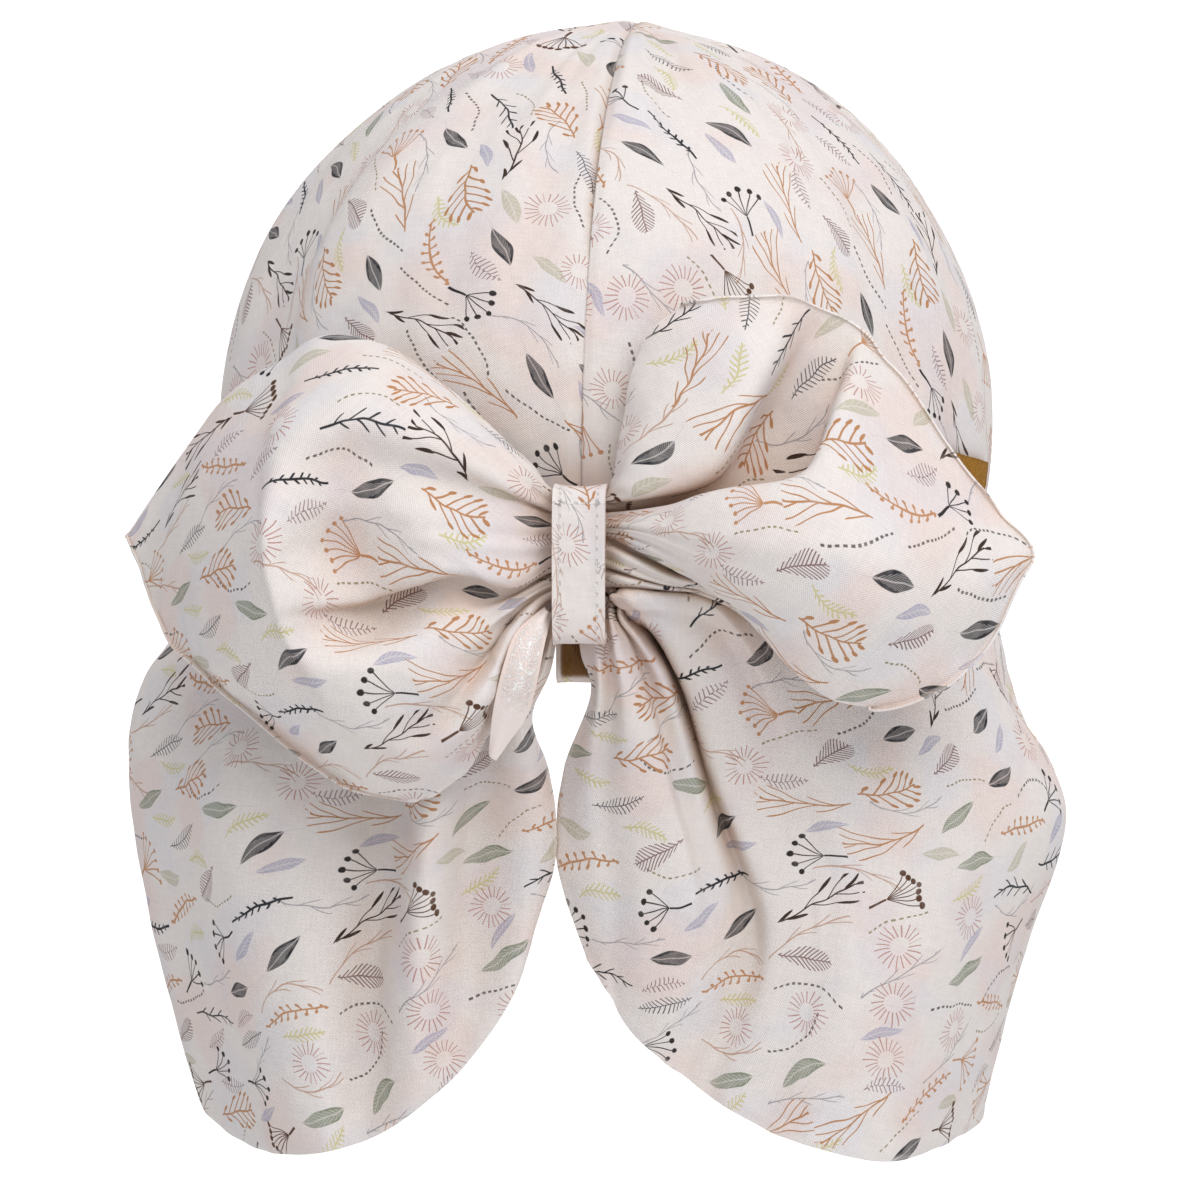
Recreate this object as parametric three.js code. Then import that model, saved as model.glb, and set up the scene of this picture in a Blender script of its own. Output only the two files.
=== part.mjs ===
// A child's sun hat in printed cotton. A flap hangs over the neck, and a strap loop draws a large bow together.
// Millimetres, +Z up. The peak points to +Y and the bow to -Y. The origin is the middle of the head opening.
import * as THREE from "three";
import { mergeVertices } from "three/addons/utils/BufferGeometryUtils.js";

// Driving dimensions
const CROWN_HALF_WIDTH = 81;
const CROWN_HALF_LENGTH = 93;
const CROWN_HALF_HEIGHT = 83;
const CROWN_WIDEST = 22; // height of the widest level above the rim
const CROWN_LEAN = 4.1; // degrees by which the seams meet to the right of the middle
const CROWN_POINT = 1.6; // rise of the small point where the seams meet
const CROWN_POINT_WIDTH = 5; // degrees from the top over which that point fades
const SEAM_DEPTH = 0.7; // groove along each seam
const SEAM_WIDTH = 4; // degrees on each side of a seam
const CROWN_CLOTH = 1.6;
const CLOTH = 1.2;
const GAP = 0.3; // clear space between neighbouring pieces
const PEAK_LENGTH = 44;
const PEAK_HALF_ANGLE = 52; // degrees to each side of the centre front
const PEAK_DROOP = 15;
const PEAK_SIDE_DROOP = 9;
const PEAK_END = 0.08; // share of the length that is left at the ends of the peak
const PEAK_CLOTH = 2;
const LOOP_WIDTH = 10.6;
const LOOP_TOP = 12.4;
const LOOP_BOTTOM = -18.5;
const LOOP_FRONT = -113.2;
const LOOP_BACK = -97;
const LOOP_CORNER = 3.5;
const WING_END = 1.2; // distance from the middle at which each wing ends inside the loop
const LABEL_CLOTH = 0.9;
const LABEL_FROM = 57; // degrees from the centre back
const LABEL_TO = 75;
const LABEL_LOW = 8.3; // heights of the label's front end
const LABEL_HIGH = 14.6;
const LABEL_RISE = 4; // how much higher the end toward the bow is

// Soft folds of the crown. Turn and width are degrees from the centre back, positive to the right; low and high are
// the heights between which the fold runs, and rise is how far the cloth comes out.
const CROWN_FOLDS = [
  { fold: "left ridge", turn: -43, width: 8, low: 22, high: 84, rise: 1.6 },
  { fold: "left hollow", turn: -60, width: 8, low: 16, high: 80, rise: -1.8 },
  { fold: "left side ridge", turn: -76, width: 7, low: 16, high: 66, rise: 1.0 },
  { fold: "hollow beside the seam", turn: 17, width: 9, low: 62, high: 94, rise: -1.2 },
  { fold: "right hollow", turn: 58, width: 9, low: 30, high: 74, rise: -1.1 },
  { fold: "right side ridge", turn: 73, width: 6, low: 4, high: 48, rise: 0.9 },
];

// Folds of the bow wings, in the order in which they leave the loop. Each goes from its root beside the loop to the hem.
const LEFT_WING = [
  { fold: "back layer", root: [-6.3, -102.5, 9], near: [-12, -98, 18], middle: [-30, -93, 26], ridge: [-50, -83, 27],
    outer: [-70, -75, 17], hem: [-84, -70, -1] },
  { fold: "top edge", root: [-6.3, -105, 10], near: [-14, -106, 24], middle: [-29, -103, 36], ridge: [-48, -95, 40],
    outer: [-72, -82, 28], hem: [-93, -76, 0] },
  { fold: "upper ridge", root: [-6.3, -107.5, 8], near: [-13, -114, 19], middle: [-29, -123, 29],
    ridge: [-49, -122, 29], outer: [-71, -98, 17], hem: [-90, -82, -7] },
  { fold: "shallow hollow", root: [-6.3, -106.5, 5.5], near: [-14, -112, 11], middle: [-31, -119, 13],
    ridge: [-54, -127, 12], outer: [-73, -104, 5], hem: [-85, -84, -17] },
  { fold: "lower ridge", root: [-6.3, -108, 2.5], near: [-15, -117, 2], middle: [-31, -126, 1], ridge: [-55, -130, -3],
    outer: [-72, -108, -11], hem: [-80, -88, -27] },
  { fold: "crease", root: [-6.3, -106, 0], near: [-16, -108, -6], middle: [-31, -111, -7], ridge: [-51, -124, -20],
    outer: [-63, -108, -27], hem: [-69, -92, -36] },
  { fold: "lower lobe", root: [-6.3, -107.5, -3], near: [-14, -114, -12], middle: [-25, -123, -18],
    ridge: [-44, -125, -32], outer: [-53, -111, -39], hem: [-57, -97, -44] },
  { fold: "lobe edge", root: [-6.3, -106, -6], near: [-13, -111, -16], middle: [-22, -115, -29], ridge: [-34, -115, -41],
    outer: [-41, -107, -46], hem: [-45, -100, -50] },
  { fold: "bottom edge", root: [-6.3, -103.5, -8], near: [-12, -105, -18.5], middle: [-17.5, -105.5, -32],
    ridge: [-23, -105, -46], outer: [-28, -102, -49], hem: [-33, -100, -51] },
];
const RIGHT_WING = [
  { fold: "inner edge", root: [6.3, -102.5, 10], near: [7, -102, 15], middle: [9, -99, 27], ridge: [13, -97, 36],
    outer: [15, -97, 41], hem: [18, -97, 44] },
  { fold: "inner roll", root: [6.3, -105, 9.5], near: [9, -107, 13], middle: [14, -103, 25], ridge: [18, -101, 35],
    outer: [21, -100, 41], hem: [24, -97, 47] },
  { fold: "back ridge", root: [6.3, -106.5, 8], near: [14, -107, 11], middle: [25, -106, 19], ridge: [33, -104, 31],
    outer: [35, -100, 39], hem: [38, -94, 48] },
  { fold: "hollow", root: [6.3, -104.5, 6.5], near: [15, -102.5, 9], middle: [31, -97, 15], ridge: [43, -91, 24],
    outer: [48, -87, 36], hem: [51, -85, 45] },
  { fold: "front crest", root: [6.3, -106, 5], near: [14, -109, 8], middle: [30, -117, 11], ridge: [47, -117, 16],
    outer: [53, -104, 29], hem: [57, -89, 41] },
  { fold: "front upper", root: [6.3, -108, 3], near: [15, -113, 6], middle: [33, -125, 8], ridge: [52, -125, 10],
    outer: [62, -106, 21], hem: [67, -90, 25] },
  { fold: "front body", root: [6.3, -107, 0.5], near: [15, -114, 3], middle: [35, -127, 1], ridge: [56, -127, 0],
    outer: [71, -108, 5], hem: [80, -91, 9] },
  { fold: "corner", root: [6.3, -106, -2], near: [15, -112, 0.5], middle: [35, -124, -6], ridge: [58, -125, -10],
    outer: [76, -110, -6], hem: [89, -95, -1] },
  { fold: "lower body", root: [6.3, -105, -4.5], near: [14.5, -109, -2], middle: [33, -119, -11], ridge: [55, -122, -17],
    outer: [69, -113, -18], hem: [81, -102, -20] },
  { fold: "bottom edge", root: [6.3, -103, -6.5], near: [14, -105, -5], middle: [31, -111, -15], ridge: [50, -115, -26],
    outer: [58, -113, -30], hem: [65, -110, -32] },
];

// The narrow strip of the left flap's inner edge that has turned over below the bow.
const TURNED_EDGE = [
  { fold: "outer side", root: [-6.7, -107.5, -15.5], upper: [-11, -109, -22.5], middle: [-15, -110, -31],
    lower: [-17, -109, -39], tip: [-18.6, -109, -46] },
  { fold: "middle", root: [-6.9, -109.5, -17], upper: [-9, -111.5, -23], middle: [-12.5, -112, -31],
    lower: [-14.5, -111, -38], tip: [-17, -109.6, -45] },
  { fold: "inner side", root: [-6.9, -107.5, -19], upper: [-6.6, -109, -25], middle: [-9.5, -109.5, -31],
    lower: [-10.5, -108.5, -37], tip: [-15.6, -109, -44] },
];

// Folds of the neck flap, from the centre back to the ear. Turn is the place on the rim, in degrees from the centre
// back. Drawn is where the loop pulls a fold together; a fold with no such place hangs straight from the rim.
const LEFT_FLAP = [
  { fold: "centre edge", turn: -5, drawn: [-7, -101, -15], shoulder: [-7, -98, -29], waist: [-5.5, -89, -50],
    low: [-6.5, -88, -65], hem: [-10, -88, -80] },
  { fold: "centre roll", turn: -8, drawn: [-8, -103.5, -13], shoulder: [-12, -101, -29], waist: [-11, -92, -51],
    low: [-13, -90, -72], hem: [-16, -90, -94] },
  { fold: "inner flank", turn: -13, drawn: [-9.5, -101, -11], shoulder: [-20, -98, -31], waist: [-21, -91, -58],
    low: [-22, -90, -84], hem: [-23, -90, -106] },
  { fold: "inner ridge", turn: -20, drawn: [-14, -98, -10], shoulder: [-30, -97, -33], waist: [-31, -98, -55],
    low: [-33, -97, -85], hem: [-31, -92, -113] },
  { fold: "valley", turn: -32, drawn: [-27, -93, -9.5], shoulder: [-45, -86, -32], waist: [-45, -80, -57],
    low: [-47, -83, -85], hem: [-43, -86, -120] },
  { fold: "outer ridge", turn: -46, shoulder: [-61, -80, -32], waist: [-60, -88, -56], low: [-58, -90, -80],
    hem: [-53, -84, -123] },
  { fold: "side crease", turn: -62, shoulder: [-76, -58, -32], waist: [-75, -68, -54], low: [-71, -74, -80],
    hem: [-67, -66, -125] },
  { fold: "side", turn: -77, shoulder: [-93, -30, -32], waist: [-98, -36, -49], low: [-91, -38, -87],
    hem: [-81, -42, -120] },
  { fold: "ear edge", turn: -90, shoulder: [-85, 2, -30], waist: [-88, 0, -54], low: [-84, -4, -86],
    hem: [-74, -8, -117] },
];
const RIGHT_FLAP = [
  { fold: "centre edge", turn: 5, drawn: [7, -101, -15], shoulder: [4, -99, -29], waist: [-2.5, -93, -48],
    low: [-4.5, -92, -64], hem: [1, -90, -83] },
  { fold: "inner flank", turn: 7.5, drawn: [7.6, -104, -13.5], shoulder: [8.5, -104, -27], waist: [7, -99, -47],
    low: [10, -95, -77], hem: [8, -90, -94] },
  { fold: "inner ridge", turn: 10, drawn: [8.6, -106, -12], shoulder: [13, -105, -25.5], waist: [18.5, -101.5, -46],
    low: [23, -97, -75], hem: [16, -92, -103] },
  { fold: "deep crease", turn: 13, drawn: [9.6, -103, -10.5], shoulder: [19, -95, -28], waist: [28, -87, -50],
    low: [36, -87, -78], hem: [23, -88, -110] },
  { fold: "crease flank", turn: 17, drawn: [11, -100, -9.5], shoulder: [26, -92, -24], waist: [36, -91, -51],
    low: [43, -92, -81], hem: [32, -90, -115] },
  { fold: "middle", turn: 26, drawn: [19, -97, -9], shoulder: [43, -89, -28], waist: [48, -93, -52],
    low: [51, -96, -83], hem: [45, -92, -120] },
  { fold: "outer belly", turn: 43, shoulder: [63, -78, -31], waist: [66, -86, -55], low: [62, -91, -83],
    hem: [59, -87, -124] },
  { fold: "side crease", turn: 60, shoulder: [80, -56, -31], waist: [86, -66, -56], low: [76, -74, -83],
    hem: [71, -70, -123] },
  { fold: "side", turn: 76, shoulder: [87, -30, -35], waist: [96, -38, -57], low: [89, -38, -84],
    hem: [80, -42, -120] },
  { fold: "ear edge", turn: 90, shoulder: [84, 2, -31], waist: [88, 0, -57], low: [83, -4, -86],
    hem: [74, -8, -116] },
];
const DRAWN_SHARE = 0.35; // how far down to the shoulder an ungathered fold has its second point

const degrees = THREE.MathUtils.degToRad;

// Turns a list of rows of points into a closed wall. Each point of the middle surface goes half the wall's thickness
// to each side along its normal, and the four edges are closed. Points that fall together make no triangles.
function wall(grid, normals, outward, inward) {
  const rows = grid.length;
  const columns = grid[0].length;
  const positions = [];
  for (const offset of [outward, -inward]) {
    grid.forEach((row, j) => {
      row.forEach((point, i) => positions.push(...point.clone().addScaledVector(normals[j][i], offset).toArray()));
    });
  }
  const at = (side, j, i) => side * rows * columns + j * columns + i;
  const triangles = [];
  const quad = (a, b, c, d) => triangles.push([a, b, c], [a, c, d]);
  for (let j = 0; j < rows - 1; j++) {
    for (let i = 0; i < columns - 1; i++) {
      quad(at(0, j, i), at(0, j, i + 1), at(0, j + 1, i + 1), at(0, j + 1, i));
      quad(at(1, j, i), at(1, j + 1, i), at(1, j + 1, i + 1), at(1, j, i + 1));
    }
    quad(at(0, j, 0), at(0, j + 1, 0), at(1, j + 1, 0), at(1, j, 0));
    quad(at(0, j + 1, columns - 1), at(0, j, columns - 1), at(1, j, columns - 1), at(1, j + 1, columns - 1));
  }
  for (let i = 0; i < columns - 1; i++) {
    quad(at(0, 0, i + 1), at(0, 0, i), at(1, 0, i), at(1, 0, i + 1));
    quad(at(0, rows - 1, i), at(0, rows - 1, i + 1), at(1, rows - 1, i + 1), at(1, rows - 1, i));
  }
  const geometry = new THREE.BufferGeometry();
  geometry.setAttribute("position", new THREE.Float32BufferAttribute(positions, 3));
  geometry.setIndex(triangles.flat());
  return facingOut(mergeVertices(geometry, 1e-3));
}

// Drops triangles without area, turns a body that is inside out, and adds the normals.
function facingOut(geometry) {
  const index = geometry.index.array;
  const corner = (k) => new THREE.Vector3().fromBufferAttribute(geometry.attributes.position, k);
  const kept = [];
  let volume = 0;
  for (let t = 0; t < index.length; t += 3) {
    const [a, b, c] = [index[t], index[t + 1], index[t + 2]];
    if (a !== b && b !== c && c !== a) {
      kept.push([a, b, c]);
      volume += corner(a).dot(corner(b).cross(corner(c)));
    }
  }
  geometry.setIndex(kept.map((t) => (volume > 0 ? t : [t[0], t[2], t[1]])).flat());
  geometry.computeVertexNormals();
  return geometry;
}

// The unit normals of a grid of points, from the directions to each point's neighbours.
function gridNormals(grid) {
  const last = grid.length - 1;
  return grid.map((row, j) =>
    row.map((point, i) => {
      const before = grid[Math.max(j - 1, 0)][i];
      const after = grid[Math.min(j + 1, last)][i];
      const left = row[Math.max(i - 1, 0)];
      const right = row[Math.min(i + 1, row.length - 1)];
      return after.clone().sub(before).cross(right.clone().sub(left)).normalize();
    }),
  );
}

// A cloth whose folds are smooth curves through the rows of a fold table, joined across by smooth curves as well.
function foldedCloth(folds, along, across) {
  const runs = folds.map((points) => new THREE.CatmullRomCurve3(points).getPoints(along));
  const grid = [];
  for (let j = 0; j <= along; j++) {
    grid.push(new THREE.CatmullRomCurve3(runs.map((run) => run[j])).getPoints(across));
  }
  return wall(grid, gridNormals(grid), CLOTH / 2, CLOTH / 2);
}

function vectors(row, columns) {
  return columns.map((name) => new THREE.Vector3(...row[name]));
}

// The fall angle of the rim, measured from the top of the crown.
const RIM_FALL = Math.acos(-CROWN_WIDEST / CROWN_HALF_HEIGHT);

// The outer surface of the crown. Fall is the angle from the top and turn the angle from the centre back, in radians.
function crownPoint(fall, turn) {
  const lean = degrees(CROWN_LEAN) * (1 - fall / RIM_FALL);
  const side = Math.sin(fall) * Math.sin(turn);
  const up = Math.cos(fall);
  const x = side * Math.cos(lean) + up * Math.sin(lean);
  const y = -Math.sin(fall) * Math.cos(turn);
  const z = up * Math.cos(lean) - side * Math.sin(lean);
  const point = new THREE.Vector3(CROWN_HALF_WIDTH * x, CROWN_HALF_LENGTH * y, CROWN_WIDEST + CROWN_HALF_HEIGHT * z);
  const normal = new THREE.Vector3(x / CROWN_HALF_WIDTH, y / CROWN_HALF_LENGTH, z / CROWN_HALF_HEIGHT).normalize();
  return { point: point.addScaledVector(normal, crownRelief(fall, turn, point.z)), normal };
}

// How far the cloth of the crown stands out: its soft folds, the grooves of its seams and the point at the top.
function crownRelief(fall, turn, height) {
  const bell = (distance, width) => Math.exp(-((distance / width) ** 2));
  const awayFromTop = 1 - bell(fall, degrees(3 * CROWN_POINT_WIDTH));
  const fromSeam = Math.asin(Math.abs(Math.sin(2 * turn))) / 2;
  let relief = CROWN_POINT * bell(fall, degrees(CROWN_POINT_WIDTH));
  relief -= SEAM_DEPTH * bell(fromSeam, degrees(SEAM_WIDTH)) * awayFromTop;
  for (const { turn: place, width, low, high, rise } of CROWN_FOLDS) {
    const level = (2 * height - low - high) / (high - low);
    const aside = Math.asin(Math.sin(turn - degrees(place)));
    const near = Math.cos(turn - degrees(place)) > 0 ? bell(aside, degrees(width)) : 0;
    relief += rise * near * Math.exp(-(level ** 4)) * awayFromTop;
  }
  return relief;
}

// A quarter of the crown, moved off its neighbours by half the gap.
function crownGore(fromTurn, columns, rows) {
  const grid = [];
  const normals = [];
  const middle = degrees(fromTurn + 45);
  const shift = new THREE.Vector3(Math.sign(Math.sin(middle)), -Math.sign(Math.cos(middle)), 0);
  shift.multiplyScalar(GAP / 2);
  for (let j = 0; j <= rows; j++) {
    const samples = [];
    for (let i = 0; i <= columns; i++) {
      samples.push(crownPoint((RIM_FALL * j) / rows, degrees(fromTurn + (90 * i) / columns)));
    }
    grid.push(samples.map(({ point }) => point.add(shift)));
    normals.push(samples.map(({ normal }) => normal));
  }
  return wall(grid, normals, 0, CROWN_CLOTH);
}

// A place on the rim in the middle of the crown's cloth, just below its edge.
function rimPoint(turn) {
  const rim = Math.sin(RIM_FALL);
  const x = (CROWN_HALF_WIDTH * rim - CROWN_CLOTH / 2) * Math.sin(degrees(turn));
  const y = -(CROWN_HALF_LENGTH * rim - CROWN_CLOTH / 2) * Math.cos(degrees(turn));
  return new THREE.Vector3(x, y, -2 * GAP);
}

function neckFlap(table) {
  const folds = table.map((row) => {
    const top = rimPoint(row.turn);
    const hanging = vectors(row, ["shoulder", "waist", "low", "hem"]);
    const drawn = row.drawn ? new THREE.Vector3(...row.drawn) : top.clone().lerp(hanging[0], DRAWN_SHARE);
    return [top, drawn, ...hanging];
  });
  return foldedCloth(folds, 15, 3 * (folds.length - 1));
}

function bowWing(table) {
  const folds = table.map((row) => {
    const run = vectors(row, ["root", "near", "middle", "ridge", "outer", "hem"]);
    const end = run[0].clone().setX(Math.sign(run[0].x) * WING_END);
    return [end, ...run];
  });
  return foldedCloth(folds, 18, 3 * (folds.length - 1));
}

function turnedEdge() {
  return foldedCloth(TURNED_EDGE.map((row) => vectors(row, ["root", "upper", "middle", "lower", "tip"])), 10, 4);
}

// A soft crescent that juts from the front of the rim and droops to its edge and to its sides.
function peak() {
  const grid = [];
  const columns = 22;
  const rows = 5;
  for (let j = 0; j <= rows; j++) {
    const row = [];
    for (let i = 0; i <= columns; i++) {
      const side = (2 * i) / columns - 1;
      const turn = degrees(180 + PEAK_HALF_ANGLE * side);
      const reach = PEAK_END + (1 - PEAK_END) * Math.cos((Math.PI / 2) * side) ** 0.7;
      const out = (PEAK_LENGTH * reach * j) / rows;
      const point = rimPoint(THREE.MathUtils.radToDeg(turn));
      point.x += out * Math.sin(turn) * 0.55;
      point.y -= out * Math.cos(turn);
      point.z -= PEAK_CLOTH / 2 + (PEAK_DROOP * (j / rows) ** 1.4 * reach) + PEAK_SIDE_DROOP * side * side * (j / rows);
      row.push(point);
    }
    grid.push(row);
  }
  return wall(grid, gridNormals(grid), PEAK_CLOTH / 2, PEAK_CLOTH / 2);
}

// A rectangle with round corners in the plane of the loop's side.
function roundedOutline(outline, left, right, bottom, top, corner) {
  outline.moveTo(left + corner, bottom);
  outline.lineTo(right - corner, bottom);
  outline.absarc(right - corner, bottom + corner, corner, -Math.PI / 2, 0);
  outline.lineTo(right, top - corner);
  outline.absarc(right - corner, top - corner, corner, 0, Math.PI / 2);
  outline.lineTo(left + corner, top);
  outline.absarc(left + corner, top - corner, corner, Math.PI / 2, Math.PI);
  outline.lineTo(left, bottom + corner);
  outline.absarc(left + corner, bottom + corner, corner, Math.PI, 1.5 * Math.PI);
  return outline;
}

// The strap goes round the gathered cloth: an upright ring, as wide as the strap.
function bowLoop() {
  const ring = roundedOutline(new THREE.Shape(), LOOP_FRONT, LOOP_BACK, LOOP_BOTTOM, LOOP_TOP, LOOP_CORNER);
  const inner = LOOP_CORNER - CLOTH;
  ring.holes.push(
    roundedOutline(
      new THREE.Path(), LOOP_FRONT + CLOTH, LOOP_BACK - CLOTH, LOOP_BOTTOM + CLOTH, LOOP_TOP - CLOTH, inner,
    ),
  );
  const geometry = new THREE.ExtrudeGeometry(ring, { depth: LOOP_WIDTH, bevelEnabled: false, curveSegments: 5 });
  geometry.rotateX(Math.PI / 2).rotateZ(Math.PI / 2);
  return geometry.translate(-LOOP_WIDTH / 2, 0, 0);
}

// A small patch that follows the side of the crown just above the rim.
function sideLabel() {
  const grid = [];
  const normals = [];
  const rows = 2;
  const columns = 5;
  for (let j = 0; j <= rows; j++) {
    const samples = [];
    for (let i = 0; i <= columns; i++) {
      const level = LABEL_LOW + ((LABEL_HIGH - LABEL_LOW) * j) / rows + LABEL_RISE * (1 - i / columns);
      const fall = Math.acos((level - CROWN_WIDEST) / CROWN_HALF_HEIGHT);
      samples.push(crownPoint(fall, degrees(LABEL_FROM + ((LABEL_TO - LABEL_FROM) * i) / columns)));
    }
    const clear = LABEL_CLOTH / 2 + 3 * GAP;
    grid.push(samples.map(({ point, normal }) => point.addScaledVector(normal, clear)));
    normals.push(samples.map(({ normal }) => normal));
  }
  return wall(grid, normals, LABEL_CLOTH / 2, LABEL_CLOTH / 2);
}

const COTTON = { color: 0xe9dfda, roughness: 0.9, metalness: 0 };
const MUSTARD = { color: 0xb9812f, roughness: 0.8, metalness: 0 };

const hat = new THREE.Group();
function addPiece(name, geometry, look) {
  const piece = new THREE.Mesh(geometry, new THREE.MeshStandardMaterial(look));
  piece.name = name;
  hat.add(piece);
}

for (const [name, fromTurn] of [
  ["crown_back_right", 0],
  ["crown_front_right", 90],
  ["crown_front_left", 180],
  ["crown_back_left", 270],
]) {
  addPiece(name, crownGore(fromTurn, 13, 13), COTTON);
}
addPiece("peak", peak(), COTTON);
addPiece("neck_flap_left", neckFlap(LEFT_FLAP), COTTON);
addPiece("neck_flap_right", neckFlap(RIGHT_FLAP), COTTON);
addPiece("bow_wing_left", bowWing(LEFT_WING), COTTON);
addPiece("bow_wing_right", bowWing(RIGHT_WING), COTTON);
addPiece("turned_edge", turnedEdge(), COTTON);
addPiece("bow_loop", bowLoop(), COTTON);
addPiece("side_label", sideLabel(), MUSTARD);

export default hat;
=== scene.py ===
import math

import bmesh
import bpy
import numpy as np
from mathutils import Matrix, Vector, noise


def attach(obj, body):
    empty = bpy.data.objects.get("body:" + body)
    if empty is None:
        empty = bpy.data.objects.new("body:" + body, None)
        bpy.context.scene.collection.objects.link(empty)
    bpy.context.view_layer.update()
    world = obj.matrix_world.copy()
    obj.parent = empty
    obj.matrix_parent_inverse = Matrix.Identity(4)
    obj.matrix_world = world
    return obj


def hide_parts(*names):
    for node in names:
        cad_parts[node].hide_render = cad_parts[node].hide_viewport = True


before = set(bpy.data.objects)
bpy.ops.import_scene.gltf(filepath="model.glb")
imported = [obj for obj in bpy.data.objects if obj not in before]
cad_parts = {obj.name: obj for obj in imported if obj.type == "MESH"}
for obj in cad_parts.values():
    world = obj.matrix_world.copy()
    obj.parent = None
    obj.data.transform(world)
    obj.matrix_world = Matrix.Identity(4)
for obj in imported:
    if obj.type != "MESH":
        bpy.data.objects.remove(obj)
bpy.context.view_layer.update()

# A child's sun hat in printed cotton, with a flap over the neck and a large bow that a strap loop draws together.
# Metres, +Z up. The peak points to +Y and the bow to -Y. Fold tables are in millimetres and are scaled by MM.
MM = 0.001


def table(columns, rows):
    """Rows of values under named columns."""
    return [dict(zip(columns, row)) for row in rows]


# Crown
CROWN_HALF = np.array([81.0, 93.0, 83.0]) * MM
CROWN_WIDEST = 22 * MM
CROWN_LEAN = math.radians(4.1)
CROWN_POINT = 1.6 * MM
CROWN_POINT_WIDTH = math.radians(5)
RIM_FALL = math.acos(-CROWN_WIDEST / CROWN_HALF[2])
SEAM_DEPTH = 0.8 * MM
SEAM_WIDTH = 1.5 * MM
CROWN_CLOTH = 1.1 * MM
GATHER_HEIGHT = 13 * MM
GATHER_DEPTH = 0.9 * MM
CROWN_ROWS = 84
CROWN_COLUMNS = 86
CROWN_WAVES = table(("wave", "depth", "round", "up", "seed"), [
    ("slow swell", 0.95 * MM, 0.021, 0.05, 3.1),
    ("fine wrinkle", 0.5 * MM, 0.008, 0.024, 7.7),
])
SEAM_PUCKER = 0.22 * MM

# Cloth of the flap, the bow and the strap
CLOTH = 0.55 * MM
HEM_WIDTH = 1.3 * MM
HEM_ROLL = 0.35 * MM
HEM_PUCKER = 0.2 * MM
PLAIN_LIP = 0.5
LIP_FORWARD = -0.4
FAR = 1.0  # for cloth with no such edge or stitching near
UNWRAP_ROUNDS = 5
WING_GRAIN = -70  # turn of the print from upright, in degrees
FLAP_GRAIN = -80
WING_PLEATS = {"number": 10, "reach": 0.026}
FLAP_PLEATS = {"number": 12, "reach": 0.03, "depth": 0.25, "until": 2.0}

# Soft folds of the crown: turn and width in degrees from the centre back, low and high in millimetres above the rim,
# rise in millimetres.
CROWN_FOLDS = table(("fold", "turn", "width", "low", "high", "rise"), [
    ("flatter left flank", -92, 42, 26, 106, -1),
    ("left ridge", -43, 7, 22, 84, 1.9),
    ("left hollow", -57, 6, 16, 80, -2),
    ("left side ridge", -74, 6, 16, 66, 1.3),
    ("hollow beside the seam", 17, 9, 62, 94, -1.2),
    ("right hollow", 58, 9, 30, 74, -1.1),
    ("right side ridge", 73, 6, 4, 48, 0.9),
    ("gather above the label", 67, 3, 2, 34, -0.8),
    ("gather beside the label", 80, 3, 2, 40, 0.8),
])

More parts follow.
